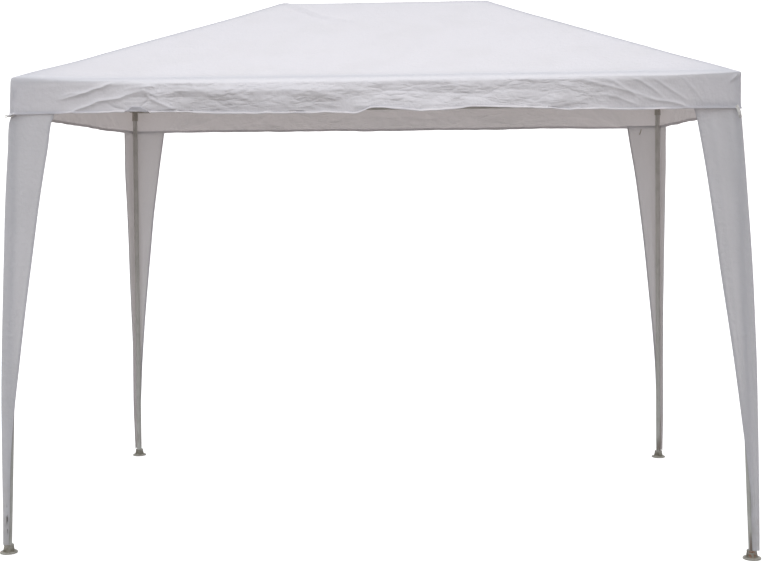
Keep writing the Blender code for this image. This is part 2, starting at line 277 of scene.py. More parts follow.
# Long soft folds of the leg covers: middle and spread as shares of a face, and height. A share is
# less than 0 on the front or back face, and more than 0 on the end face.
COVER_FOLDS = {
    "front_left": [
        (-0.60, 0.16, 0.0014), (-0.30, 0.10, -0.0008), (0.35, 0.10, 0.0022), (0.70, 0.12, 0.0030),
    ],
    "front_right": [
        (-0.67, 0.09, 0.0036), (-0.42, 0.08, -0.0016), (-0.24, 0.06, 0.0026), (0.45, 0.16, 0.0030),
    ],
    "back_left": [
        (-0.55, 0.14, 0.0030), (-0.25, 0.08, -0.0016), (0.40, 0.12, 0.0030), (0.75, 0.10, 0.0020),
    ],
    "back_right": [
        (-0.70, 0.12, 0.0024), (-0.35, 0.10, 0.0028), (0.30, 0.10, -0.0014), (0.60, 0.14, 0.0032),
    ],
}
COVER_LAYERS = 0.0018
COVER_ROWS = 200
FACE_COLUMNS = 27
FOLD_COLUMNS = 3

# Seams and stitches
SEAM_WIDTH = 0.010
SEAM_BELOW = 0.0011
STITCH_PITCH = 0.006
STITCH_LENGTH = 0.0036
THREAD = 0.0008
STITCH_MARGIN = 0.0035

# Outline of a foot from the middle of its sole round to the floor of its socket, as (radius, height)
FOOT_PROFILE = [
    (0.0, 0.0), (0.0355, 0.0), (0.0368, 0.0006), (0.0370, 0.0016), (0.0370, 0.0044), (0.0366, 0.0055),
    (0.0355, 0.0062), (0.0335, 0.0063), (0.0320, 0.0058), (0.0300, 0.0058), (0.0275, 0.0068),
    (0.0252, 0.0090), (0.0238, 0.0115), (0.0229, 0.0150), (0.0200, 0.0300), (0.0206, 0.0312),
    (0.0209, 0.0330), (0.0206, 0.0350), (0.0196, 0.0360), (0.0140, 0.0360), (0.0132, 0.0352),
    (0.0132, 0.0097), (0.0, 0.0097),
]

# Outline of the lip round a socket's mouth, as (radius, height)
LIP_LENGTH = 0.005
LIP_PROFILE = [
    (0.0158, 0.0), (0.0166, 0.0003), (0.0171, 0.0013), (0.0171, 0.0036), (0.0167, 0.0047), (0.0158, 0.0050),
    (0.0158, 0.0),
]

# The tape that hangs from each corner of the hem, from its top down, and the ring on its end
TAPES = {
    "front_left": [(-1.484, -1.0080, 1.8590), (-1.496, -1.0100, 1.8535), (-1.511, -1.0100, 1.8530)],
    "front_right": [
        (1.482, -1.0005, 1.866), (1.4845, -1.0085, 1.854), (1.489, -1.0150, 1.841), (1.4925, -1.0175, 1.823),
    ],
    "back_left": [
        (-1.4845, 0.9990, 1.862), (-1.491, 1.0030, 1.847), (-1.4955, 1.0045, 1.834), (-1.497, 1.004, 1.820),
    ],
    "back_right": [
        (1.4845, 0.9990, 1.862), (1.491, 1.0030, 1.849), (1.4970, 1.0045, 1.836), (1.500, 1.004, 1.822),
    ],
}
TAPE_WIDTH = 0.013
TAPE_THICKNESS = 0.0012
RING_PROFILE = [
    (0.0062, 0.0), (0.0055, 0.0012), (0.0043, 0.0012), (0.0036, 0.0), (0.0043, -0.0012), (0.0055, -0.0012),
    (0.0062, 0.0),
]

# A dark tie that hangs inside the cover of the back right leg
TIE = [(1.389, 0.9895, 1.852), (1.3865, 0.9870, 1.842), (1.3825, 0.9862, 1.831), (1.3790, 0.9885, 1.822)]
TIE_WIDTH = 0.007

# Where the edge of a moulding stays sharp
EDGE_ANGLE = math.radians(35)


# Shapes

def smoothstep(low, high, value):
    share = np.clip((value - low) / (high - low), 0, 1)
    return share * share * (3 - 2 * share)


def curve_through(points, value):
    """A smooth curve through (position, size) points, read at value."""
    places, sizes = np.array(sorted(points)).T
    slopes = np.gradient(sizes, places)
    value = np.clip(value, places[0], places[-1])
    left = np.clip(np.searchsorted(places, value, side="right") - 1, 0, len(places) - 2)
    step = places[left + 1] - places[left]
    share = (value - places[left]) / step
    rest = 1 - share
    level = (1 + 2 * share) * rest**2 * sizes[left] + share**2 * (3 - 2 * share) * sizes[left + 1]
    turn = share * rest**2 * slopes[left] - share**2 * rest * slopes[left + 1]
    return level + turn * step


def curves_through(rows, value):
    """The curves of a table whose rows hold a position and then a size for each curve."""
    places, *columns = zip(*rows)
    return [curve_through(zip(places, sizes), value) for sizes in columns]


def noise_at(points, size, shift=0.0):
    """Smooth noise from -1 to 1 at each point, with features of about that size."""
    flat = np.reshape(points, (-1, 3)) / size + shift
    values = [noise.noise(point) for point in flat.tolist()]
    return np.reshape(values, np.shape(points)[:-1])


def crease(x, y, points, width):
    """1 on the line through the points, falling off to its sides and towards its two ends."""
    nearest = np.full(np.shape(x), np.inf)
    run = np.zeros(np.shape(x))
    length = 0.0
    for start, end in zip(np.array(points[:-1]), np.array(points[1:])):
        step = end - start
        size = np.hypot(*step)
        share = np.clip(((x - start[0]) * step[0] + (y - start[1]) * step[1]) / size**2, 0, 1)
        distance = np.hypot(x - start[0] - share * step[0], y - start[1] - share * step[1])
        closer = distance < nearest
        nearest = np.where(closer, distance, nearest)
        run = np.where(closer, length + share * size, run)
        length += size
    crest = 0.15 * width
    taper = np.sin(np.pi * np.clip(0.04 + 0.92 * run / length, 0, 1)) ** 0.6
    return taper * np.exp(-(np.sqrt(nearest**2 + crest**2) - crest) / width)


def placed(name, data):
    made = bpy.data.objects.new(name, data)
    bpy.context.scene.collection.objects.link(made)
    return made


def new_mesh(name, points, faces):
    mesh = bpy.data.meshes.new(name)
    mesh.from_pydata([tuple(point) for point in points], [], faces)
    return mesh


def piece(name, mesh, edge_angle=None):
    """A smooth piece, with sharp edges where its faces turn by more than edge_angle."""
    mesh.shade_smooth()
    if edge_angle:
        mesh.set_sharp_from_angle(angle=edge_angle)
    return placed(name, mesh)


def cloth_piece(name, rows, alongs, downs, steps, closed):
    """A sheet over rows of points. A row uses every steps-th column, and UVs are metres on the cloth."""
    columns = len(rows[0])
    last = columns if closed else columns - 1
    places = [row.tolist() for row in rows]
    points = []
    index = {}
    for number, row in enumerate(places):
        for column in range(0, columns, steps[number]):
            index[number, column] = len(points)
            points.append(row[column])
    faces = []
    uvs = []

    def add_corner(number, column, base):
        column %= columns
        gap = math.dist(places[number][column][:2], places[number][base][:2])
        faces[-1].append(index[number, column])
        uvs.append((alongs[number][base] + gap, downs[number][column]))

    for number, (low, high) in enumerate(zip(steps, steps[1:])):
        square = [(0, 0), (0, low), (1, low), (1, 0)]
        halving = [
            [(0, 0), (0, low), (1, 0)],
            [(0, low), (1, high), (1, 0)],
            [(0, low), (0, high), (1, high)],
        ]
        for column in range(0, last, high):
            for loop in [square] if low == high else halving:
                faces.append([])
                for row, shift in loop:
                    add_corner(number + row, column + shift, column)
    mesh = new_mesh(name, points, faces)
    layer = mesh.uv_layers.new(name="cloth")
    layer.data.foreach_set("uv", np.array(uvs, dtype=np.float32).ravel())
    if closed:
        whole = bmesh.new()
        whole.from_mesh(mesh)
        bmesh.ops.remove_doubles(whole, verts=whole.verts, dist=0.00002)
        whole.to_mesh(mesh)
        whole.free()
    return piece(name, mesh)


# Canopy

def perimeter():
    """Columns round the canopy: side number, share along it from -1 to 1, core point and normal."""
    columns = []
    for number, name in enumerate(SIDE_NAMES):
        outward, along = SIDES[name]
        count = SIDE_COLUMNS[name]
        for step in range(count + 1):
            share = 2 * step / count - 1
            columns.append((number, share, outward + along * share, outward))
        for step in range(1, ARC_COLUMNS):
            turn = math.pi / 2 * step / ARC_COLUMNS
            normal = outward * math.cos(turn) + along * math.sin(turn)
            columns.append((number, 1.0, outward + along, normal))
    return [np.array(values) for values in zip(*columns)]


COLUMN_SIDE, COLUMN_SHARE, COLUMN_CORE, COLUMN_NORMAL = perimeter()
COLUMN_SPAN = np.array([HALF_SPAN[SIDE_NAMES[number]] for number in COLUMN_SIDE])
COLUMN_ALONG = COLUMN_SHARE * (COLUMN_SPAN - CORNER_RADIUS)
COLUMN_END = COLUMN_SPAN - np.abs(COLUMN_ALONG)


def first_column(side):
    return int(np.flatnonzero(COLUMN_SIDE == SIDE_NAMES.index(side))[0])


def ring(inset, height):
    """Points of one level ring of the canopy, which lies inset inside the eave's outline."""
    half = np.array([HALF_LENGTH - inset, HALF_DEPTH - inset])
    radius = min(CORNER_RADIUS, half[1])
    plan = COLUMN_CORE * (half - radius) + COLUMN_NORMAL * radius
    return np.column_stack([plan, np.full(len(plan), height)])


def nearest_fitting(x, y):
    """Plan distance to the nearest of the six fittings that hold the cloth up."""
    corner = np.hypot(np.abs(x) - AXIS_X, np.abs(y) - AXIS_Y)
    return np.minimum(corner, np.hypot(np.abs(x) - HALF_RIDGE, y))


def roof_drop(x, y):
    """How far the cloth hangs below its flat planes: nothing at the fittings, most in mid panel."""
    side_room = HALF_LENGTH - np.abs(x)
    front_room = HALF_DEPTH - np.abs(y)
    inset = np.clip(np.minimum(side_room, front_room), 0, HALF_DEPTH)
    on_end = side_room < front_room
    reach = np.where(on_end, HALF_DEPTH, HALF_LENGTH) - inset
    across = np.clip(np.where(on_end, np.abs(y), np.abs(x)) / np.maximum(reach, 0.01), 0, 1)
    up = inset / HALF_DEPTH
    panel = (1 - across**2.4) * np.sin(np.pi * up) ** 0.75
    eave = (1 - across**2) * smoothstep(0.12, 0.0, up)
    tube = smoothstep(SOCKET_REACH, 0.30, nearest_fitting(x, y))
    return PANEL_SAG * panel + EAVE_SAG * eave + TUBE_SAG * tube


def roof_creases(x, y):
    """Creases of the roof, and how far the fittings push it up."""
    height = sum(rise * crease(x, y, points, width) for rise, width, points in ROOF_FOLDS)
    for rise, reach, lift_x, lift_y in ROOF_LIFTS:
        height = height + rise * smoothstep(reach, 0.0, np.hypot(x - lift_x, y - lift_y))
    return height


def roof_row(inset):
    """One ring of the roof, with its sag, its soft ridge, its creases and slight unevenness."""
    row = ring(inset, 0.0)
    x, y = row[:, 0], row[:, 1]
    near_fitting = smoothstep(0.16, SOCKET_REACH, nearest_fitting(x, y))
    softness = RIDGE_SOFTNESS + (FITTING_SOFTNESS - RIDGE_SOFTNESS) * near_fitting
    depth = np.clip(inset - HALF_DEPTH + softness, 0, None)
    height = EAVE_HEIGHT + SLOPE * inset - SLOPE * depth**2 / (2 * softness)
    height = height - roof_drop(x, y)
    free = smoothstep(0.02, 0.25, inset) * smoothstep(0.0, 0.2, HALF_DEPTH - inset)
    height += free * (ROOF_WAVES * noise_at(row, 0.36) + ROOF_RIPPLES * noise_at(row, 0.11, 9.0))
    row[:, 2] = height + roof_creases(x, y)
    over_tube = smoothstep(0.12, 0.030, inset) * min(inset / EAVE_HANG_REACH, 1)
    row[:, 2] += EAVE_TUBE_LIFT * over_tube * smoothstep(0.02, 0.20, COLUMN_END)
    share = max(0, 1 - inset / EAVE_HANG_REACH)
    row[:, :2] += COLUMN_NORMAL * (share * HANG_OUT)[:, None]
    row[:, 2] -= share * HANG_DOWN
    return row


def eave_hang():
    """How far the eave hangs beyond and below its plane, for every column."""
    hangs = [size * smoothstep(0.02, 0.30, COLUMN_END) for size in PLAIN_EAVE_HANG]
    front = COLUMN_SIDE == SIDE_NAMES.index("front")
    for hang, front_hang in zip(hangs, curves_through(FRONT_EAVE_HANG, COLUMN_ALONG[front])):
        hang[front] = front_hang
    return hangs


# The bend over the eave tube, the valance's top below the eave line, and the eave's sag
EAVE_BEND = math.pi / 2 - math.atan(SLOPE)
VALANCE_START = EAVE_RADIUS * math.tan(EAVE_BEND / 2)
EAVE_RING = ring(0.0, EAVE_HEIGHT)
HANG_OUT, HANG_DOWN = eave_hang()
EAVE_DROP = roof_drop(EAVE_RING[:, 0], EAVE_RING[:, 1]) + HANG_DOWN


def fan(rng, side, end):
    """Creases that run from the eave down to where a leg cover pulls on the hem."""
    folds = []
    focus = HALF_SPAN[side] - COVER_ZONE
    taller, wider = FAN_GROWTH[side]
    for _ in range(FAN_CREASES):
        slant = math.radians(rng.uniform(9, 58))
        near = rng.uniform(0.0, 0.07)
        far = min(rng.uniform(0.16, 0.46), 0.138 / math.sin(slant))
        bend = rng.uniform(-0.008, 0.012)
        points = []
        for share in (0, 0.5, 1):
            reach = near + (far - near) * share
            down = FAN_FOCUS - reach * math.sin(slant) + bend * share * (1 - share) * 4
            points.append((end * (focus - reach * math.cos(slant)), down))
        rise = rng.uniform(0.0030, 0.0062) * taller
        folds.append((rise, rng.uniform(0.006, 0.012) * wider, points))
    return folds


def crumples(rng, side):
    """Short loose creases between the two fans of a side."""
    folds = []
    for _ in range(CRUMPLE_COUNT[side]):
        along = rng.uniform(-1, 1) * (HALF_SPAN[side] - 0.32)
        down = rng.uniform(0.03, 0.115)
        half = rng.uniform(0.04, 0.12)
        fall = half * rng.uniform(-0.45, 0.45)
        bend = rng.uniform(-0.012, 0.012)
        height = rng.choice((-1, 1)) * rng.uniform(0.0035, 0.0070)
        points = [(along - half, down - fall), (along, down + bend), (along + half, down + fall)]
        folds.append((height, rng.uniform(0.008, 0.016), points))
    return folds


def side_folds(side):
    if side == "front":
        return FRONT_FOLDS
    rng = random.Random("folds of the " + side)
    return fan(rng, side, 1) + fan(rng, side, -1) + crumples(rng, side)


def from_end(side, along):
    return HALF_SPAN[side] - np.abs(along)


def side_noise(side, along, level, size):
    """Noise along one side of the canopy. Each level has a line of its own."""
    places = np.zeros((len(along), 3))
    places[:, 0] = along
    places[:, 1] = level + SIDE_NAMES.index(side)
    return noise_at(places, size)


def hem_drop(side, along):
    """How far below the eave line the hem hangs."""
    if side == "front":
        return curve_through(FRONT_HEM, along)
    free = smoothstep(0.0, 0.25, from_end(side, along))
    waves = 0.004 * side_noise(side, along, 3.0, 0.32) + 0.002 * side_noise(side, along, 3.0, 0.11)
    return PLAIN_HEM + free * (waves - 0.002)


def side_leans(side, along):
    """How far a valance leans out at the eave, in its upper part and in its lower part, in radians."""
    if side == "front":
        return curves_through(FRONT_LEANS, along)
    free = smoothstep(0.18, 0.5, from_end(side, along))
    belly = BELLY_LEAN[side] * free * side_noise(side, along, 7.0, 0.55)
    return 0.22 * free + np.clip(belly, 0, None), belly, 0.10 * free - belly


def facets(rng, x, y, size):
    """Straight creases in several directions, each fading in and out, with flat facets between."""
    total = np.zeros(np.shape(x))
    for number in range(FACET_WAVES):
        turn = rng.uniform(-1.0, 1.0)
        pitch = size * rng.uniform(0.6, 1.7)
        phase = rng.uniform(0, 2)
        spread = np.stack([x * math.sin(turn) + y * math.cos(turn), x, y], axis=-1)
        patches = noise_at(spread * (0.3, 1, 1.4), 2.2 * size, 3.0 * number)
        strength = np.clip(0.45 + 1.4 * patches, 0, 1)
        total += pitch * strength * np.abs((spread[..., 0] / pitch + phase) % 2 - 1)
    return total / FACET_WAVES


def flap_height(side, along):
    if side != "front":
        return np.zeros(len(along))
    return np.interp(along, *zip(*FLAP), left=0, right=0)


def by_beak(side, along):
    """True on the halves of the front and left sides that meet at the front left corner."""
    return (side == "front") & (along < 0) | (side == "left") & (along > 0)


def corner_flare(side, along):
    """The hem sticks out like a beak at the front left corner, and slightly at the others."""
    end = from_end(side, along)
    beak = 1.15 * smoothstep(0.034, 0.004, end)
    return np.where(by_beak(side, along), beak, 0.25 * smoothstep(0.05, 0.004, end))


class Valance:
    """One side's valance, as rows of points at path lengths down from the eave's bend."""

    def __init__(self, number, side):
        self.side = side
        self.columns = np.flatnonzero(COLUMN_SIDE == number)
        self.along = COLUMN_ALONG[self.columns]
        self.end = COLUMN_END[self.columns]
        self.loose = smoothstep(COVER_ZONE - 0.02, COVER_ZONE + 0.16, self.end)
        self.flap = flap_height(side, self.along)
        drop = hem_drop(side, self.along) - VALANCE_START - EAVE_DROP[self.columns]
        self.length = drop + self.flap
        self.hung_length = self.length - self.flap
        above_hem = self.length - HEM_DEPTH
        upper = above_hem * np.linspace(0, 1, UPPER_ROWS + 1)[:, None]
        hem = above_hem + HEM_DEPTH * (np.arange(1, HEM_ROWS + 1) / HEM_ROWS)[:, None]
        self.path = np.vstack([upper, hem])
        spread = np.broadcast_to(self.along, self.path.shape)
        self.places = np.stack([spread, self.path, np.full(self.path.shape, 5.0 * number)], axis=-1)

    def lean(self):
        """Lean from the vertical: the belly of the side, the beak and the hem's kick outwards."""
        path = self.path
        eave, upper, lower = side_leans(self.side, self.along)
        lean = eave + (upper - eave) * smoothstep(0.003, 0.015, path)
        lean = lean + (lower - upper) * smoothstep(0.040, 0.053, path)
        lean = lean + BEAK_LEAN * by_beak(self.side, self.along) * smoothstep(0.10, 0.02, self.end)
        kick = HEM_KICK_AT_COVERS + (HEM_KICK[self.side] - HEM_KICK_AT_COVERS) * self.loose
        kick = kick * (1 + 0.4 * noise_at(self.places, 0.10, 4.0)) + corner_flare(self.side, self.along)
        return lean + (np.maximum(kick, lean) - lean) * smoothstep(-0.0125, -0.0085, path - self.length)

    def fitted(self, lean):
        """Path lengths, stretched so that the leaning cloth still reaches the hem's height."""
        steps = np.clip(self.hung_length - self.path[:-1], 0, np.diff(self.path, axis=0))
        hung = np.cos((lean[1:] + lean[:-1]) / 2) * steps
        wanted = self.hung_length + EAVE_RADIUS * np.sin(np.clip(lean[0], 0, None))
        return self.path * (wanted / hung.sum(axis=0))

    def flapped(self, lean):
        """The lean with the flap of the hem turned up."""
        half = math.pi / 2 * FLAP_BEND
        turned_up = smoothstep(-half, half, self.path - self.hung_length)
        return lean + (math.pi - 0.18 - lean) * turned_up * smoothstep(0.0, 0.008, self.flap)

    def folds(self):
        """Height of the creases, crumples and ripples above the smooth cloth."""
        warp = 0.006 * noise_at(self.places, 0.055, 2.0)
        x = self.along + warp
        y = self.path + VALANCE_START + 0.6 * warp
        height = np.zeros(self.path.shape)
        for rise, width, points in side_folds(self.side):
            height += rise * crease(x, y, points, width)
        fold = 0.010 * noise_at(self.places, 0.075, 12.0)
        rng = random.Random("crumples of the " + self.side)
        crumple = facets(rng, self.along + fold, self.path + 0.7 * fold, FACET_SIZE)
        crumple = crumple * smoothstep(0.28, 0.62, self.end)
        fine = 0.5 - np.abs(noise_at(self.places * (0.7, 1.2, 1), 0.017, 8.0))
        height += self.loose * (CRUMPLE_SLOPE[self.side] * crumple + 0.0011 * fine)
        bands = noise_at(self.places * (1, 0.12, 1), 0.045, 6.0)
        height += 0.0009 * bands * smoothstep(0.0, 0.05, self.end)
        from_stitches = np.abs(self.length - HEM_DEPTH - self.path)
        pucker = PUCKER * np.sin(self.along * 2 * math.pi / PUCKER_PITCH)
        height += pucker * smoothstep(0.018, 0.010, from_stitches)
        height *= smoothstep(-0.006, 0.016, self.path) * smoothstep(0.0, 0.009, self.end)
        return np.where(self.end < COVER_ZONE, np.maximum(height, -0.0004), height)


def valance_fields():
    """For every row and column of the valance: path length, lean from the vertical, and fold height."""
    fields = np.zeros((3, UPPER_ROWS + HEM_ROWS + 1, len(COLUMN_SIDE)))
    for number, side in enumerate(SIDE_NAMES):
        valance = Valance(number, side)
        lean = valance.lean()
        fields[:, :, valance.columns] = valance.fitted(lean), valance.flapped(lean), valance.folds()
    return fields


def roof_insets(start):
    """Insets of the roof's rings, closer together near the eave and towards the ridge."""
    insets = [start]
    while insets[-1] < HALF_DEPTH - 0.004:
        place = insets[-1]
        gap = ROOF_GAP - 0.014 * smoothstep(0.08, 0.0, place) - 0.011 * smoothstep(0.60, 0.72, place)
        gap -= 0.007 * smoothstep(HALF_DEPTH - 0.06, HALF_DEPTH - 0.02, place)
        insets.append(place + gap)
    insets[-1] = HALF_DEPTH
    return insets[1:]


class Canopy:
    """Rows of points from the turned-in hem, round its edge, up the valance and over the roof."""

    def __init__(self):
        self.rows = []
        self.steps = []
        self.downs = []

    def add(self, row, down, step=1):
        self.rows.append(row)
        self.downs.append(np.broadcast_to(down, len(row)))
        self.steps.append(step)

    def build(self):
        paths, leans, folds = valance_fields()
        middle = (leans[1:] + leans[:-1]) / 2
        stretch = np.diff(paths, axis=0)
        tangent = np.clip(leans[0], 0, None)
        out = np.vstack([np.zeros(len(EAVE_RING)), np.cumsum(np.sin(middle) * stretch, axis=0)])
        fall = np.vstack([np.zeros(len(EAVE_RING)), np.cumsum(np.cos(middle) * stretch, axis=0)])
        out = out + folds * np.cos(leans) - EAVE_RADIUS * (1 - np.cos(tangent))
        fall = fall - folds * np.sin(leans) - EAVE_RADIUS * np.sin(tangent)
        plan = ring(0.0, 0.0)[:, :2] + COLUMN_NORMAL * HANG_OUT[:, None]
        top = EAVE_HEIGHT - VALANCE_START - EAVE_DROP

        def valance_row(number, inward=0.0, beyond=0.0):
            lean = leans[number]
            outward = out[number] - inward * np.cos(lean) + beyond * np.sin(lean)
            height = top - fall[number] - inward * np.sin(lean) - beyond * np.cos(lean)
            return np.column_stack([plan + COLUMN_NORMAL * outward[:, None], height])

        final = len(paths) - 1
        for number in range(final - HEM_ROWS, final + 1):
            self.add(valance_row(number, inward=HEM_LAYERS), 2 * paths[final] - paths[number])
        self.add(valance_row(final, inward=HEM_LAYERS / 2, beyond=HEM_LAYERS / 2), paths[final])
        for number in range(final, -1, -1):
            self.add(valance_row(number), paths[number])
        self.valance = np.array([valance_row(number) for number in range(final + 1)])
        for step in range(1, EAVE_ROWS + 1):
            share = step / EAVE_ROWS
            rest = 1 - share
            tight = EAVE_BEND * share
            turn = tangent + (EAVE_BEND - tangent) * share
            inset = EAVE_RADIUS * (1 - math.cos(tight))
            row = ring(inset, EAVE_HEIGHT - VALANCE_START)
            moved = EAVE_RADIUS * (np.cos(turn) - math.cos(tight)) + folds[0] * np.cos(tangent) * rest
            row[:, :2] += COLUMN_NORMAL * (moved + HANG_OUT)[:, None]
            row[:, 2] += EAVE_RADIUS * np.sin(turn) + folds[0] * np.sin(tangent) * rest
            row[:, 2] += share * roof_creases(row[:, 0], row[:, 1]) - EAVE_DROP
            self.add(row, -EAVE_RADIUS * tight)
        self.roof_start = len(self.rows)
        start = inset
        for number, inset in enumerate(roof_insets(start)):
            run = EAVE_RADIUS * EAVE_BEND + (inset - start) * math.hypot(1, SLOPE)
            self.add(roof_row(inset), -run, step=ROOF_STEPS[min(number, 1)])
        return self

    def piece(self):
        alongs = [side_alongs(row) for row in self.rows]
        return cloth_piece("canopy_cloth", self.rows, alongs, self.downs, self.steps, closed=True)


def side_alongs(row):
    """Each point's flat coordinate along its own side."""
    directions = np.array([SIDES[SIDE_NAMES[number]][1] for number in COLUMN_SIDE])
    return np.sum(row[:, :2] * directions, axis=1)


# Stitches and seams

def read_line(runs, line, places):
    """The line's points, or its normals, at distances along it."""
    return np.column_stack([np.interp(places, runs, line[:, axis]) for axis in range(3)])


def unit(vectors):
    return vectors / np.linalg.norm(vectors, axis=1)[:, None]


def stitches(name, lines):
    """Stitches along lines of (points, normals), each a slim six-pointed bead lying on the cloth."""
    points = []
    faces = []
    for line, normals in lines:
        gaps = np.linalg.norm(np.diff(line, axis=0), axis=1)
        runs = np.concatenate([[0], np.cumsum(gaps)])
        places = np.arange(STITCH_PITCH / 2, runs[-1], STITCH_PITCH)
        centres = read_line(runs, line, places)
        ups = unit(read_line(runs, normals, places))
        ways = unit(read_line(runs, line, places + 0.001) - read_line(runs, line, places - 0.001))
        for centre, up, way, side in zip(centres, ups, ways, np.cross(ups, ways)):
            base = len(points)
            points.extend([
                centre - way * STITCH_LENGTH / 2, centre + way * STITCH_LENGTH / 2,
                centre - side * THREAD / 2, centre + side * THREAD / 2,
                centre - up * THREAD * 0.3, centre + up * THREAD * 0.6,
            ])
            for first in (0, 1):
                for second, third in ((2, 5), (5, 3), (3, 4), (4, 2)):
                    loop = (base + first, base + second, base + third)
                    faces.append(loop if first == 1 else loop[::-1])
    return piece(name, new_mesh(name, points, faces))


def panel_line(canopy, side, end, room):
    """A line up one panel, room inside its hip: at end 1 of the side's flat coordinate, or at -1."""
    outward, along = SIDES[side]
    first = first_column(side)
    points = []
    for row in canopy.rows[canopy.roof_start:-1]:
        stretch = row[first:first + SIDE_COLUMNS[side] + 1]
        places = stretch[:, :2] @ along
        target = end * (abs(places[0]) - room)
        if abs(places[0]) <= room:
            break
        height = np.interp(target, places, stretch[:, 2])
        plan = outward * (stretch[0, :2] @ outward) + along * target
        points.append([plan[0], plan[1], height])
    return np.array(points)


def hip_line(canopy, side, end, count):
    """The line up the hip itself, at end 1 or -1 of a side."""
    middle = SIDE_COLUMNS[side] + ARC_COLUMNS // 2 if end == 1 else -ARC_COLUMNS // 2
    column = (first_column(side) + middle) % len(COLUMN_SIDE)
    return np.array([row[column] for row in canopy.rows[canopy.roof_start:][:count]])


def roof_normal(side):
    outward, _ = SIDES[side]
    normal = np.array([outward[0] * SLOPE, outward[1] * SLOPE, 1.0])
    return normal / np.linalg.norm(normal)


def seam_bands(canopy):
    """The seam allowances that show from below: one strip under each hip and one under the ridge."""
    bands = []
    for side in ("front", "back"):
        for end in (-1, 1):
            lines = [panel_line(canopy, side, end, room) for room in (SEAM_WIDTH, SEAM_WIDTH / 2, 0.0005)]
            count = min(len(line) for line in lines)
            lines.append(hip_line(canopy, side, end, count))
            columns = np.array([line[:count] for line in lines]) - (0, 0, SEAM_BELOW)
            name = "hip_seam_" + side + ("_right" if (side == "front") == (end == 1) else "_left")
            bands.append(seam_band(name, list(columns.transpose(1, 0, 2))))
    front = canopy.rows[-2][:SIDE_COLUMNS["front"] + 1]
    rows = [front * (1, place, 1) - (0, 0, SEAM_BELOW) for place in (1, 0, -1)]
    bands.append(seam_band("ridge_seam", rows))
    return bands


def seam_band(name, rows):
    alongs = [[SEAM_WIDTH * place for place in range(len(row))] for row in rows]
    downs = [[0.016 * number] * len(row) for number, row in enumerate(rows)]
    return cloth_piece(name, rows, alongs, downs, [1] * len(rows), closed=False)


def canopy_stitches(canopy):
    """Lines of stitches: above the hem, under the eave, beside each hip and each side of the ridge."""
    level = np.column_stack([COLUMN_NORMAL, np.zeros(len(COLUMN_NORMAL))])
    lines = []
    for row in (canopy.valance[-HEM_ROWS - 1], canopy.valance[1]):
        lines.append((np.vstack([row, row[:1]]), np.vstack([level, level[:1]])))
    roof_lines = []
    for side in SIDE_NAMES:
        for end in (-1, 1):
            roof_lines.append((side, panel_line(canopy, side, end, STITCH_MARGIN)))
    for side in ("front", "back"):
        first = first_column(side)
        roof_lines.append((side, canopy.rows[-2][first:first + SIDE_COLUMNS["front"] + 1]))
    for side, line in roof_lines:
        lines.append((line, np.tile(roof_normal(side), (len(line), 1))))
    return stitches("canopy_stitches", lines)


# Leg covers

def toward_corner(leg):
    """Signs of X and Y on the way to that corner."""
    depth, end = leg.split("_")
    return np.array([-1.0 if end == "left" else 1.0, -1.0 if depth == "front" else 1.0])


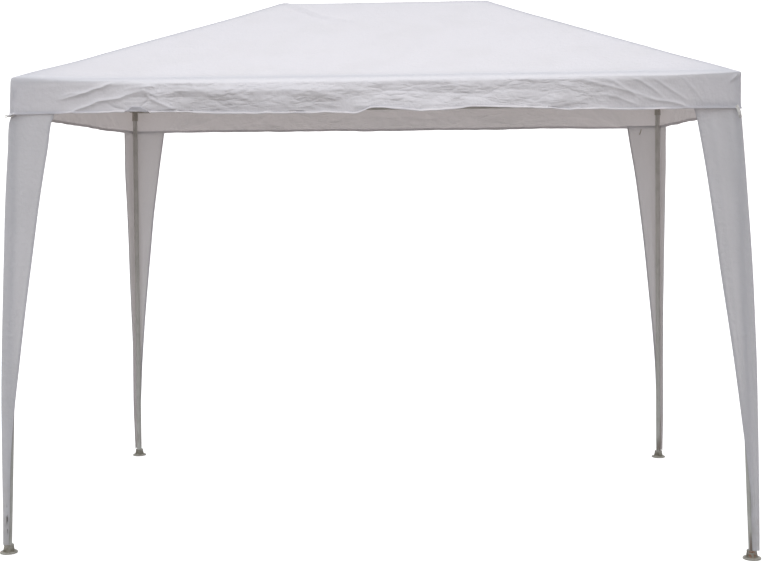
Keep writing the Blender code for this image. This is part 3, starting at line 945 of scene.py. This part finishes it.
class LegCover:
    """An angle of cloth round the outside of one leg, with turned-in hems on its two free edges."""

    def __init__(self, leg):
        self.leg = leg
        self.toward = toward_corner(leg)
        self.shift = 11.0 * (1 + list(COVER_WIDTHS).index(leg))
        self.heights = np.linspace(COVER_FOOT_HEIGHT, HEM_HEIGHT + COVER_OVERLAP, COVER_ROWS)
        self.rows, self.alongs, self.stitch_lines = self.shape()

    def width(self, height):
        return curve_through(COVER_WIDTHS[self.leg], height)

    def radius(self, height):
        return min(COVER_CORNER_RADIUS, 0.35 * self.width(height))

    def place(self, distance, height):
        """Plan point and outward normal at a distance round the angle from its corner's middle."""
        radius = self.radius(height)
        quarter = radius * math.pi / 4
        depth = AXIS_Y + COVER_REACH
        depth += (HALF_DEPTH - COVER_SETBACK - depth) * (height - COVER_FOOT_HEIGHT) / HEM_HEIGHT
        core = np.array([curve_through(COVER_EDGES[self.leg], height), depth]) - radius
        turn = np.clip(distance, -quarter, quarter) / radius + math.pi / 4
        normal = np.column_stack([np.sin(turn), np.cos(turn)])
        run = np.clip(np.abs(distance) - quarter, 0, None)
        back = np.column_stack([np.where(distance < 0, run, 0), np.where(distance > 0, run, 0)])
        return (core + radius * normal - back) * self.toward, normal * self.toward

    def fold(self, distance, height, reach):
        """How far the cloth stands out: soft folds that run down and together, and a loose free edge."""
        share = distance / reach
        room = np.clip(self.width(height) / 0.09, 0.1, 1) * smoothstep(-0.01, 0.10, HEM_HEIGHT - height)
        folds = np.zeros(len(distance))
        for middle, spread, rise in COVER_FOLDS[self.leg]:
            sway = 0.05 * noise.noise((middle * 14, height * 2, self.shift))
            folds += rise * (1 + 6 * sway) * np.exp(-(((share - middle - sway) / spread) ** 2))

        def waves(across, up, size):
            level = np.full(len(share), up)
            return noise_at(np.column_stack([across, level, np.full(len(share), self.shift)]), size)

        folds += 0.005 * np.abs(share) ** 3 * waves(np.sign(share) * 0.5, height, 0.42)
        folds += 0.0022 * waves(share * 0.14, height * 0.22, 0.05)
        joint = 0.0010 * math.exp(-(((height - LEG_JOINT_HEIGHT) / 0.007) ** 2))
        folds = folds * room + joint * smoothstep(1.0, 0.5, np.abs(share))
        edge = smoothstep(0.0, 0.25, np.abs(share))
        return np.clip(folds * edge, -0.0035, None)

    def shape(self):
        rows = []
        alongs = []
        stitch_lines = [[], []]
        corner = np.arange(FOLD_COLUMNS + 1) / FOLD_COLUMNS
        face = np.arange(1, FACE_COLUMNS + 1) / FACE_COLUMNS
        strip = np.arange(1, FOLD_COLUMNS + 1) / FOLD_COLUMNS
        for height in self.heights:
            quarter = self.radius(height) * math.pi / 4
            reach = self.width(height) - self.radius(height) + quarter
            hem = min(COVER_HEM, 0.45 * reach)
            flat = reach - hem - quarter
            half = np.concatenate([quarter * corner, quarter + flat * face, reach - hem + hem * strip])
            inner = np.concatenate([[reach], reach - hem * strip])
            distances = np.concatenate([-inner[::-1], -half[::-1], half[1:], inner])
            lining = np.zeros(len(distances))
            lining[:len(inner)] = COVER_LAYERS
            lining[-len(inner):] = COVER_LAYERS
            plan, normal = self.place(distances, height)
            plan = plan + normal * (self.fold(distances, height, reach) - lining)[:, None]
            rows.append(np.column_stack([plan, np.full(len(plan), height)]))
            alongs.append(distances)
            sewn = len(inner) + FOLD_COLUMNS
            for line, column in zip(stitch_lines, (sewn, len(distances) - 1 - sewn)):
                line.append((*rows[-1][column], *normal[column], 0.0))
        if self.toward[0] * self.toward[1] > 0:
            rows = [row[::-1] for row in rows]
            alongs = [row[::-1] for row in alongs]
        return rows, alongs, [(line[:, :3], line[:, 3:]) for line in map(np.array, stitch_lines)]

    def piece(self):
        downs = [np.full(len(row), height) for row, height in zip(self.rows, self.heights)]
        name = self.leg + "_cover_cloth"
        return cloth_piece(name, self.rows, self.alongs, downs, [1] * len(self.rows), closed=False)

    def flat(self):
        """The flat cut's width, length and area, hems included."""
        widths = np.array([2 * (self.width(height) + COVER_HEM) for height in self.heights])
        length = self.heights[-1] - self.heights[0]
        area = np.diff(self.heights) @ (widths[1:] + widths[:-1]) / 2
        return float(widths.max()), float(length), float(area)


# Turned mouldings, rings and straps

def turned(name, profile, place, axis, segments=72, lean=0.0):
    """A body turned from (radius, height) points about an axis, sheared along X by lean."""
    points = []
    faces = []
    rings = []
    for radius, height in profile:
        count = 1 if radius == 0 else segments
        rings.append(range(len(points), len(points) + count))
        for number in range(count):
            turn = 2 * math.pi * number / count
            points.append((radius * math.cos(turn) + lean * height, radius * math.sin(turn), height))
    if profile[0] == profile[-1]:
        points = points[:-segments]
        rings[-1] = rings[0]
    for low, high in zip(rings, rings[1:]):
        for number in range(segments):
            after = (number + 1) % segments
            corners = ((low, number), (low, after), (high, after), (high, number))
            loop = [line[place_in_line % len(line)] for line, place_in_line in corners]
            faces.append(list(dict.fromkeys(loop)))
    mesh = new_mesh(name, points, faces)
    turn = Vector((0, 0, 1)).rotation_difference(Vector(axis)).to_matrix().to_4x4()
    mesh.transform(Matrix.Translation(Vector(place)) @ turn)
    return piece(name, mesh, EDGE_ANGLE)


def joined(name, parts):
    """The parts as one piece."""
    mesh = bpy.data.meshes.new(name)
    whole = bmesh.new()
    for part in parts:
        whole.from_mesh(part.data)
        bpy.data.objects.remove(part)
    whole.to_mesh(mesh)
    whole.free()
    return piece(name, mesh, EDGE_ANGLE)


def strap(name, points, across, width):
    """A flat tape through the points, across giving the direction of its width."""
    points = [Vector(point) for point in points]
    across = Vector(across).normalized()
    corners = []
    for number, point in enumerate(points):
        ahead = points[min(number + 1, len(points) - 1)] - points[max(number - 1, 0)]
        up = across.cross(ahead).normalized()
        for side, lift in ((-1, -1), (1, -1), (1, 1), (-1, 1)):
            corners.append(point + across * side * width / 2 + up * lift * TAPE_THICKNESS / 2)
    faces = [(3, 2, 1, 0), tuple(len(corners) - 4 + number for number in range(4))]
    for start in range(0, len(corners) - 4, 4):
        for number in range(4):
            after = (number + 1) % 4
            faces.append((start + number, start + after, start + 4 + after, start + 4 + number))
    made = piece(name, new_mesh(name, corners, faces))
    bevel = made.modifiers.new("soft edges", "BEVEL")
    bevel.width = TAPE_THICKNESS * 0.3
    bevel.segments = 2
    return made


def foot(leg):
    """A round foot: a dished plate with a rim, and a collar that leans with its leg."""
    splay = LEG_SPLAY[leg.split("_")[0]]
    outward, depthward = toward_corner(leg)
    sole = (outward * (AXIS_X + splay), depthward * AXIS_Y, 0.0)
    lean = -outward * splay / AXIS_EAVE_HEIGHT
    return turned(leg + "_foot_moulding", FOOT_PROFILE, sole, (0, 0, 1), lean=lean)


def socket_rings():
    """A raised lip round the mouth of every socket of the corner and ridge fittings."""
    lips = []

    def lip(hub, toward, distance):
        axis = (Vector(toward) - Vector(hub)).normalized()
        mouth = Vector(hub) + axis * (distance - LIP_LENGTH)
        lips.append(turned("lip", LIP_PROFILE, mouth, axis, segments=40))

    for end in (-1, 1):
        ridge = (end * HALF_RIDGE, 0.0, AXIS_RIDGE_HEIGHT)
        lip(ridge, (0.0, 0.0, AXIS_RIDGE_HEIGHT), RIDGE_SOCKET)
        for depth, side in (("front", -1), ("back", 1)):
            corner = (end * AXIS_X, side * AXIS_Y, AXIS_EAVE_HEIGHT)
            lip(corner, (0.0, corner[1], corner[2]), EAVE_SOCKET)
            lip(corner, (corner[0], 0.0, corner[2]), EAVE_SOCKET)
            lip(corner, ridge, EAVE_SOCKET)
            lip(corner, (end * (AXIS_X + LEG_SPLAY[depth]), corner[1], 0.0), LEG_SOCKET)
            lip(ridge, corner, RIDGE_SOCKET)
    return joined("socket_lips", lips)


# Materials

class Nodes:
    """The node tree of a material or of the world, with a method for each kind of node it needs."""

    def __init__(self, owner):
        owner.use_nodes = True
        self.owner = owner
        self.tree = owner.node_tree
        self.tree.nodes.clear()

    def add(self, kind, inputs, **settings):
        """A node of that kind. An input is given a value, or the socket that feeds it."""
        made = self.tree.nodes.new("ShaderNode" + kind)
        for name, value in settings.items():
            setattr(made, name, value)
        for name, value in inputs.items():
            if isinstance(value, bpy.types.NodeSocket):
                self.tree.links.new(value, made.inputs[name])
            else:
                made.inputs[name].default_value = value
        return made

    def maths(self, operation, first, second=0.0):
        return self.add("Math", {0: first, 1: second}, operation=operation).outputs[0]

    def times(self, first, second):
        return self.maths("MULTIPLY", first, second)

    def vector(self, operation, *values):
        return self.add("VectorMath", dict(enumerate(values)), operation=operation).outputs

    def part(self, vector, axis):
        return self.add("SeparateXYZ", {0: vector}).outputs[axis]

    def place(self):
        return self.add("TexCoord", {}).outputs["Object"]

    def facing_up(self):
        """1 on what faces straight up, 0 on what stands upright."""
        return self.part(self.add("NewGeometry", {}).outputs["Normal"], "Z")

    def ramp(self, value, low, high):
        """0 at low, 1 at high and smooth between."""
        inputs = {"Value": value, "From Min": low, "From Max": high}
        return self.add("MapRange", inputs, interpolation_type="SMOOTHSTEP").outputs[0]

    def near(self, place, centre, reach):
        """1 at a point in the frame, falling to 0 at reach along each axis."""
        moved = self.vector("SUBTRACT", place, centre)[0]
        scaled = self.vector("DIVIDE", moved, reach)[0]
        return self.ramp(self.vector("LENGTH", scaled)["Value"], 1.0, 0.3)

    def noise(self, place, size, detail=2.0, stretch=(1, 1, 1)):
        """Noise from about 0.3 to 0.7, with features of that size, longer where stretch is below 1."""
        placed_at = self.add("Mapping", {"Vector": place, "Scale": stretch}).outputs[0]
        inputs = {"Vector": placed_at, "Scale": 1 / size, "Detail": detail}
        return self.add("TexNoise", inputs).outputs[0]

    def patches(self, place, size, low, high, detail=2.0, stretch=(1, 1, 1)):
        """0 where that noise is below low, 1 where it is above high."""
        return self.ramp(self.noise(place, size, detail, stretch), low, high)

    def mix(self, share, first, second):
        """From the first colour, or the socket that gives it, to the second."""
        if isinstance(first, tuple):
            first = (*first, 1)
        inputs = {0: share, 6: first, 7: (*second, 1)}
        return self.add("Mix", inputs, data_type="RGBA").outputs[2]

    def bump(self, height, distance, below=None):
        inputs = {"Height": height, "Distance": distance, "Strength": 1.0}
        if below:
            inputs["Normal"] = below
        return self.add("Bump", inputs).outputs[0]

    def surface(self, colour, rough, normal, specular=0.5):
        inputs = {"Base Color": colour, "Roughness": rough, "Specular IOR Level": specular, "Normal": normal}
        return self.add("BsdfPrincipled", inputs).outputs[0]

    def blend(self, share, first, second):
        return self.add("MixShader", {0: share, 1: first, 2: second}).outputs[0]

    def finish(self, shader, kind="OutputMaterial"):
        self.add(kind, {"Surface": shader})
        return self.owner


def new_nodes(name):
    return Nodes(bpy.data.materials.new(name))


WHITE_CLOTH = (0.714, 0.730, 0.797)
WORN_CLOTH = (0.655, 0.67, 0.72)
COVER_CLOTH = (0.718, 0.730, 0.786)
# Painted highlight: the lighter colour of a band along the eave, and how far the band reaches in from the
# eave
EAVE_HIGHLIGHT_WHITE = (0.785, 0.800, 0.865)
EAVE_HIGHLIGHT_REACH = 0.042
# Painted highlight: the lighter colour of the hem where it faces up
HEM_HIGHLIGHT_WHITE = (0.90, 0.90, 0.94)
SOIL = (0.30, 0.27, 0.21)
WEAVE_PITCH = 0.0026
FACETS = ((0.060, 0.45), (0.026, 0.22), (0.015, -0.35))
FACET_SLOPE = 0.26
LIGHT_THROUGH = 0.257
THROUGH_COLOUR = (0.83, 0.735, 0.69, 1)
COVER_THROUGH = (0.63, 0.565, 0.53, 1)

# Dark streaks painted on the front left cover, low down at its inner edge beside the pole: colour, place and
# reach
EDGE_STREAK_COLOUR = (0.035, 0.032, 0.035)
EDGE_STREAK_PLACE = (-1.5625, -0.994, 0.145)
EDGE_STREAK_REACH = (0.006, 0.03, 0.085)


def facet_height(nodes, place, size, turn):
    """Flat facets between straight creases, longer than they are high."""
    inputs = {"Vector": place, "Rotation": (0, turn, 0), "Scale": (0.30, 0.30, 1)}
    tilted = nodes.add("Mapping", inputs).outputs[0]
    cells = {"Vector": tilted, "Scale": 1 / size, "Randomness": 1.0}
    return nodes.add("TexVoronoi", cells, feature="DISTANCE_TO_EDGE").outputs[0]


def crumpled(nodes, place, below):
    """Small crisp facets where the front and back valances hang loose between the leg covers."""
    across = nodes.maths("ABSOLUTE", nodes.part(place, "X"))
    height = nodes.part(place, "Z")
    loose = nodes.times(nodes.ramp(across, 1.08, 0.84), nodes.ramp(height, 1.862, 1.880))
    loose = nodes.times(loose, nodes.ramp(height, 1.992, 1.976))
    waver = nodes.add("TexNoise", {"Vector": place, "Scale": 14.0, "Detail": 2.0}).outputs["Color"]
    shift = nodes.vector("MULTIPLY", waver, (0.03, 0.03, 0.014))[0]
    moved = nodes.vector("ADD", place, shift)[0]
    normal = below
    for size, turn in FACETS:
        some = nodes.patches(moved, 4 * size, 0.38, 0.58, detail=1.0)
        facet = nodes.times(facet_height(nodes, moved, size, turn), nodes.times(some, loose))
        normal = nodes.bump(facet, FACET_SLOPE * size, normal)
    return normal


def painted_eave_highlight(nodes, place):
    """1 on a band along the eave, where a lighter colour is painted as a highlight that cancels the eave
    tube's shadow seen through the cloth.
    """
    beyond = []
    for axis, half in (("X", HALF_LENGTH), ("Y", HALF_DEPTH)):
        from_middle = nodes.maths("ABSOLUTE", nodes.part(place, axis))
        beyond.append(nodes.maths("SUBTRACT", from_middle, half))
    band = nodes.ramp(nodes.maths("MAXIMUM", *beyond), -EAVE_HIGHLIGHT_REACH, 0.014 - EAVE_HIGHLIGHT_REACH)
    return nodes.times(band, nodes.ramp(nodes.part(place, "Z"), 1.970, 1.984))


def painted_hem_highlight(nodes, place):
    """1 low on the hem, where it turns up to the light: a painted highlight."""
    turned_up = nodes.ramp(nodes.facing_up(), 0.48, 0.68)
    return nodes.times(turned_up, nodes.ramp(nodes.part(place, "Z"), 1.876, 1.870))


def cloth_material(name, white, through_colour):
    """White woven sheet of flat tapes, which lets some light through, soiled near the ground, with
    highlights painted along the eave and on the upturned hem.
    """
    nodes = new_nodes(name)
    place = nodes.place()
    flat = nodes.add("UVMap", {}, uv_map="cloth").outputs[0]
    turn = math.pi / WEAVE_PITCH
    warp, weft = (nodes.maths("SINE", nodes.times(nodes.part(flat, axis), turn)) for axis in "XY")
    weave = nodes.times(warp, weft)
    tapes = nodes.noise(flat, 0.004, detail=1.0, stretch=(1, 0.12, 1))

    worn = nodes.patches(place, 0.23, 0.42, 0.72, detail=4.0)
    colour = nodes.mix(nodes.times(worn, 0.45), white, WORN_CLOTH)
    speck = nodes.patches(flat, 0.011, 0.45, 0.72, detail=3.0)
    colour = nodes.mix(nodes.times(speck, 0.10), colour, WORN_CLOTH)
    # Painted highlight along the eave, which cancels the eave tube's shadow seen through the cloth
    colour = nodes.mix(painted_eave_highlight(nodes, place), colour, EAVE_HIGHLIGHT_WHITE)
    # Painted highlight on the upturned hem, lighter where it faces the light above
    colour = nodes.mix(painted_hem_highlight(nodes, place), colour, HEM_HIGHLIGHT_WHITE)
    blotch = nodes.patches(place, 0.05, 0.35, 0.70, detail=4.0)
    low = nodes.times(nodes.ramp(nodes.part(place, "Z"), 0.45, 0.04), nodes.times(blotch, 0.30))
    colour = nodes.mix(low, colour, SOIL)
    # Dark streaks painted low down at the front left cover's inner edge, beside the pole
    streak = nodes.patches(place, 0.012, 0.44, 0.55, detail=3.0, stretch=(1, 1, 0.35))
    edge_streaks = nodes.times(nodes.near(place, EDGE_STREAK_PLACE, EDGE_STREAK_REACH), streak)
    colour = nodes.mix(nodes.times(edge_streaks, 0.85), colour, EDGE_STREAK_COLOUR)

    normal = nodes.bump(nodes.noise(place, 0.020, detail=3.0), 0.0022)
    normal = crumpled(nodes, place, normal)
    normal = nodes.bump(tapes, 0.00030, normal)
    normal = nodes.bump(weave, 0.00008, normal)
    solid = nodes.surface(colour, 0.55, normal, specular=0.35)
    through = nodes.add("BsdfTranslucent", {"Color": through_colour, "Normal": normal}).outputs[0]
    return nodes.finish(nodes.blend(LIGHT_THROUGH, solid, through))


THREAD_WHITE = (0.80, 0.79, 0.80)
THREAD_GREY = (0.66, 0.65, 0.64)
TAPE_WHITE = (0.78, 0.77, 0.76)
TAPE_WORN = (0.60, 0.58, 0.55)


def thread_material():
    nodes = new_nodes("thread")
    place = nodes.place()
    colour = nodes.mix(nodes.patches(place, 0.05, 0.4, 0.7), THREAD_WHITE, THREAD_GREY)
    twist = nodes.bump(nodes.noise(place, 0.0012, detail=1.0), 0.0002)
    return nodes.finish(nodes.surface(colour, 0.6, twist))


def tape_material():
    """Ribbed webbing tape."""
    nodes = new_nodes("webbing tape")
    place = nodes.place()
    rib = nodes.maths("SINE", nodes.times(nodes.part(place, "Z"), 2 * math.pi / 0.0014))
    colour = nodes.mix(nodes.patches(place, 0.012, 0.4, 0.7, detail=3.0), TAPE_WHITE, TAPE_WORN)
    return nodes.finish(nodes.surface(colour, 0.75, nodes.bump(rib, 0.00015)))


COAT = (0.60, 0.585, 0.56)
COAT_LOW = (0.58, 0.585, 0.56)
COAT_DULL = (0.38, 0.39, 0.35)
RUST = (0.115, 0.055, 0.030)

# The rust run on the back right leg: place and reach
STAIN_PLACE = (1.5055, 0.968, 0.15)
STAIN_REACH = (0.012, 0.02, 0.17)


def tube_material():
    """Grey coat, slightly uneven, greener and darker low down, with rust runs near the feet."""
    nodes = new_nodes("coated tube")
    place = nodes.place()
    height = nodes.part(place, "Z")
    colour = nodes.mix(nodes.ramp(height, 1.35, 0.35), COAT, COAT_LOW)
    dull = nodes.patches(place, 0.06, 0.45, 0.70, detail=4.0)
    colour = nodes.mix(nodes.times(dull, 0.35), colour, COAT_DULL)
    run = nodes.patches(place, 0.016, 0.50, 0.62, detail=4.0, stretch=(1, 1, 0.12))
    base = nodes.times(run, nodes.ramp(height, 0.17, 0.04))
    stain = nodes.near(place, STAIN_PLACE, STAIN_REACH)
    rusty = nodes.maths("MAXIMUM", nodes.times(base, 0.7), nodes.times(stain, 0.9))
    colour = nodes.mix(rusty, colour, RUST)
    rough = nodes.maths("ADD", 0.36, nodes.times(rusty, 0.4))
    normal = nodes.bump(nodes.noise(place, 0.003), 0.00012)
    return nodes.finish(nodes.surface(colour, rough, normal))


FITTING_GREY = (0.45, 0.425, 0.385)
DUST = (0.50, 0.48, 0.44)


def fitting_material():
    """Mid grey moulded plastic with a fine grain and dust on what faces up."""
    nodes = new_nodes("fitting plastic")
    place = nodes.place()
    on_top = nodes.ramp(nodes.facing_up(), 0.2, 1.0)
    dust = nodes.times(on_top, nodes.patches(place, 0.02, 0.4, 0.7, detail=4.0))
    colour = nodes.mix(nodes.times(dust, 0.5), FITTING_GREY, DUST)
    normal = nodes.bump(nodes.noise(place, 0.0012), 0.00010)
    return nodes.finish(nodes.surface(colour, 0.52, normal))


FOOT_GREY = (0.39, 0.375, 0.335)
FOOT_DIRT = (0.115, 0.100, 0.065)

# The rust that has run on to the front right foot: colour, place and reach
FOOT_RUST = (0.24, 0.10, 0.05)
FOOT_RUST_PLACE = (1.563, -0.996, 0.024)
FOOT_RUST_REACH = (0.030, 0.035, 0.022)


def foot_material():
    """Pale grey plastic, grimy where the plate meets the collar, with rust that has run from the tube."""
    nodes = new_nodes("foot plastic")
    place = nodes.place()
    height = nodes.part(place, "Z")
    grime = nodes.patches(place, 0.014, 0.40, 0.66, detail=5.0)
    neck = nodes.times(nodes.ramp(height, 0.0055, 0.009), nodes.ramp(height, 0.036, 0.013))
    dirt = nodes.maths("ADD", nodes.times(grime, 0.35), nodes.times(neck, 0.55))
    colour = nodes.mix(nodes.maths("MINIMUM", dirt, 0.9), FOOT_GREY, FOOT_DIRT)
    patch = nodes.patches(place, 0.010, 0.46, 0.58, detail=3.0)
    rusty = nodes.times(nodes.near(place, FOOT_RUST_PLACE, FOOT_RUST_REACH), patch)
    colour = nodes.mix(nodes.times(rusty, 0.9), colour, FOOT_RUST)
    normal = nodes.bump(nodes.noise(place, 0.004, detail=4.0), 0.0004)
    return nodes.finish(nodes.surface(colour, 0.62, normal))


# Light, floor and camera

FLOOR_COLOUR = (0.80, 0.795, 0.79)
FLOOR_GLOW = 0.50
SKY_ZENITH = 1.44
SKY_COLOUR = (0.97, 0.98, 1.0)
BELOW_STRENGTH = 0.225
BELOW_COLOUR = (1.0, 0.96, 0.90)
SIDE_LIGHT_PLACE = (-3.6, -7.3, 1.2)
SIDE_LIGHT_POWER = 60
SIDE_LIGHT_SIZE = 3.0


def floor_material():
    nodes = new_nodes("pale floor")
    surface = {"Base Color": (*FLOOR_COLOUR, 1), "Roughness": 1.0, "Specular IOR Level": 0.0}
    surface.update({"Emission Color": (1, 1, 1, 1), "Emission Strength": FLOOR_GLOW})
    return nodes.finish(nodes.add("BsdfPrincipled", surface).outputs[0])


def soft_light():
    """An even overcast dome, dimmer and warmer from below, and a large soft light at the left front."""
    nodes = Nodes(bpy.data.worlds.new("studio"))

    def background(colour, strength):
        return nodes.add("Background", {"Color": (*colour, 1), "Strength": strength}).outputs[0]

    height = nodes.part(nodes.add("TexCoord", {}).outputs["Generated"], "Z")
    overcast = nodes.times(nodes.maths("ADD", nodes.times(height, 2.0), 1.0), SKY_ZENITH / 3)
    above = background(SKY_COLOUR, overcast)
    below = background(BELOW_COLOUR, BELOW_STRENGTH)
    dome = nodes.blend(nodes.ramp(height, -0.03, 0.03), below, above)
    light_on_floor = SKY_ZENITH * 7 / 9
    as_floor = background([part * light_on_floor + FLOOR_GLOW for part in FLOOR_COLOUR], 1.0)
    seen_by_camera = nodes.add("LightPath", {}).outputs["Is Camera Ray"]
    world = nodes.finish(nodes.blend(seen_by_camera, dome, as_floor), kind="OutputWorld")
    bpy.context.scene.world = world
    bpy.context.scene.view_settings.view_transform = "Standard"

    lamp = bpy.data.lights.new("side light", "AREA")
    lamp.energy = SIDE_LIGHT_POWER
    lamp.size = SIDE_LIGHT_SIZE
    held = placed("side light", lamp)
    held.location = SIDE_LIGHT_PLACE
    held.rotation_euler = (Vector((0, 0, 1.2)) - held.location).to_track_quat("-Z", "Y").to_euler()


def floor():
    """A pale floor that throws no light back up: the dome already stands for what comes from below."""
    mesh = bpy.data.meshes.new("floor")
    disc = bmesh.new()
    bmesh.ops.create_circle(disc, cap_ends=True, segments=96, radius=60)
    disc.to_mesh(mesh)
    disc.free()
    made = piece("floor", mesh)
    made.data.materials.append(floor_material())
    made.visible_diffuse = False
    made.visible_glossy = False
    made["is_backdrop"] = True


CAMERA_PLACE = Vector((0.348, -6.210, 1.562))
CAMERA_YAW = -0.0566
CAMERA_DIP = 0.0624
CAMERA_ROLL = -0.0086
CAMERA_LENS = 59.41
CAMERA_SHIFT = -0.0259


def camera():
    data = bpy.data.cameras.new("camera")
    data.sensor_width = 36
    data.lens = CAMERA_LENS
    data.shift_y = CAMERA_SHIFT
    data.clip_end = 300
    made = placed("camera", data)
    ahead = math.cos(CAMERA_DIP)
    forward = Vector((math.sin(CAMERA_YAW) * ahead, math.cos(CAMERA_YAW) * ahead, -math.sin(CAMERA_DIP)))
    level = Vector((math.cos(CAMERA_YAW), -math.sin(CAMERA_YAW), 0))
    upright = level.cross(forward)
    right = math.cos(CAMERA_ROLL) * level + math.sin(CAMERA_ROLL) * upright
    up = -math.sin(CAMERA_ROLL) * level + math.cos(CAMERA_ROLL) * upright
    turn = Matrix((right, up, -forward)).transposed().to_4x4()
    made.matrix_world = Matrix.Translation(CAMERA_PLACE) @ turn
    bpy.context.scene.camera = made


# Everything in its place

def paint(made, material):
    made.data.materials.clear()
    made.data.materials.append(material)


def settle(made, material, slot, *nodes):
    """The piece rides on the frame, with its material, in place of the nodes it stands for. The slot is not
    used.
    """
    paint(made, material)
    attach(made, BODY)
    if nodes:
        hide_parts(*nodes)
    return made


def hem_tapes(tape, plastic):
    """The tape and its ring at each corner of the hem, and the tie inside one leg cover."""
    made = []
    for leg, points in TAPES.items():
        outward, depthward = toward_corner(leg)
        across = (0.9 * outward, 0.1 * depthward, 0.40)
        hanging = strap(leg + "_hem_tape", points, across, TAPE_WIDTH)
        made.append(settle(hanging, tape, "canopy_cloth"))
        last = Vector(points[-1])
        way = (last - Vector(points[-2])).normalized()
        axis = way.cross(Vector(across)).normalized()
        end_ring = turned(leg + "_tape_ring", RING_PROFILE, last + way * 0.004, axis, segments=32)
        made.append(settle(end_ring, plastic, "fitting_plastic"))
    tie = strap("cover_tie", TIE, (1, 0.1, 0.2), TIE_WIDTH)
    made.append(settle(tie, plastic, "fitting_plastic"))
    return made


def dress_canopy(cloth, thread, tape, plastic):
    canopy = Canopy().build()
    made = settle(
        canopy.piece(), cloth, "canopy_cloth",
        *(side + "_roof_panel" for side in SIDE_NAMES), *(side + "_valance" for side in SIDE_NAMES),
    )
    extras = [settle(band, cloth, "canopy_cloth") for band in seam_bands(canopy)]
    extras.append(settle(canopy_stitches(canopy), thread, "canopy_cloth"))
    extras += hem_tapes(tape, plastic)


def dress_leg_covers(cloth, thread):
    for leg in COVER_WIDTHS:
        cover = LegCover(leg)
        made = settle(cover.piece(), cloth, "canopy_cloth", leg + "_leg_cover")
        sewn = settle(stitches(leg + "_cover_stitches", cover.stitch_lines), thread, "canopy_cloth")
        width, length, area = cover.flat()


def dress_frame(steel, plastic, grey):
    for name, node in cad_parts.items():
        if "tube" in name or name.endswith(("_leg_lower", "_leg_upper")):
            paint(node, steel)
        if name.endswith("_fitting"):
            paint(node, plastic)
    settle(socket_rings(), plastic, "fitting_plastic")
    for leg in COVER_WIDTHS:
        settle(foot(leg), grey, "foot_plastic", leg + "_foot")


def corners(box):
    return [list(corner) for corner in box]


cloth = cloth_material("canopy cloth", WHITE_CLOTH, THROUGH_COLOUR)
cover_cloth = cloth_material("leg cover cloth", COVER_CLOTH, COVER_THROUGH)
thread = thread_material()
plastic = fitting_material()
dress_canopy(cloth, thread, tape_material(), plastic)
dress_leg_covers(cover_cloth, thread)
dress_frame(tube_material(), plastic, foot_material())
soft_light()
floor()
camera()
{"cad": corners(CAD_BOX), "visual": corners(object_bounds())}
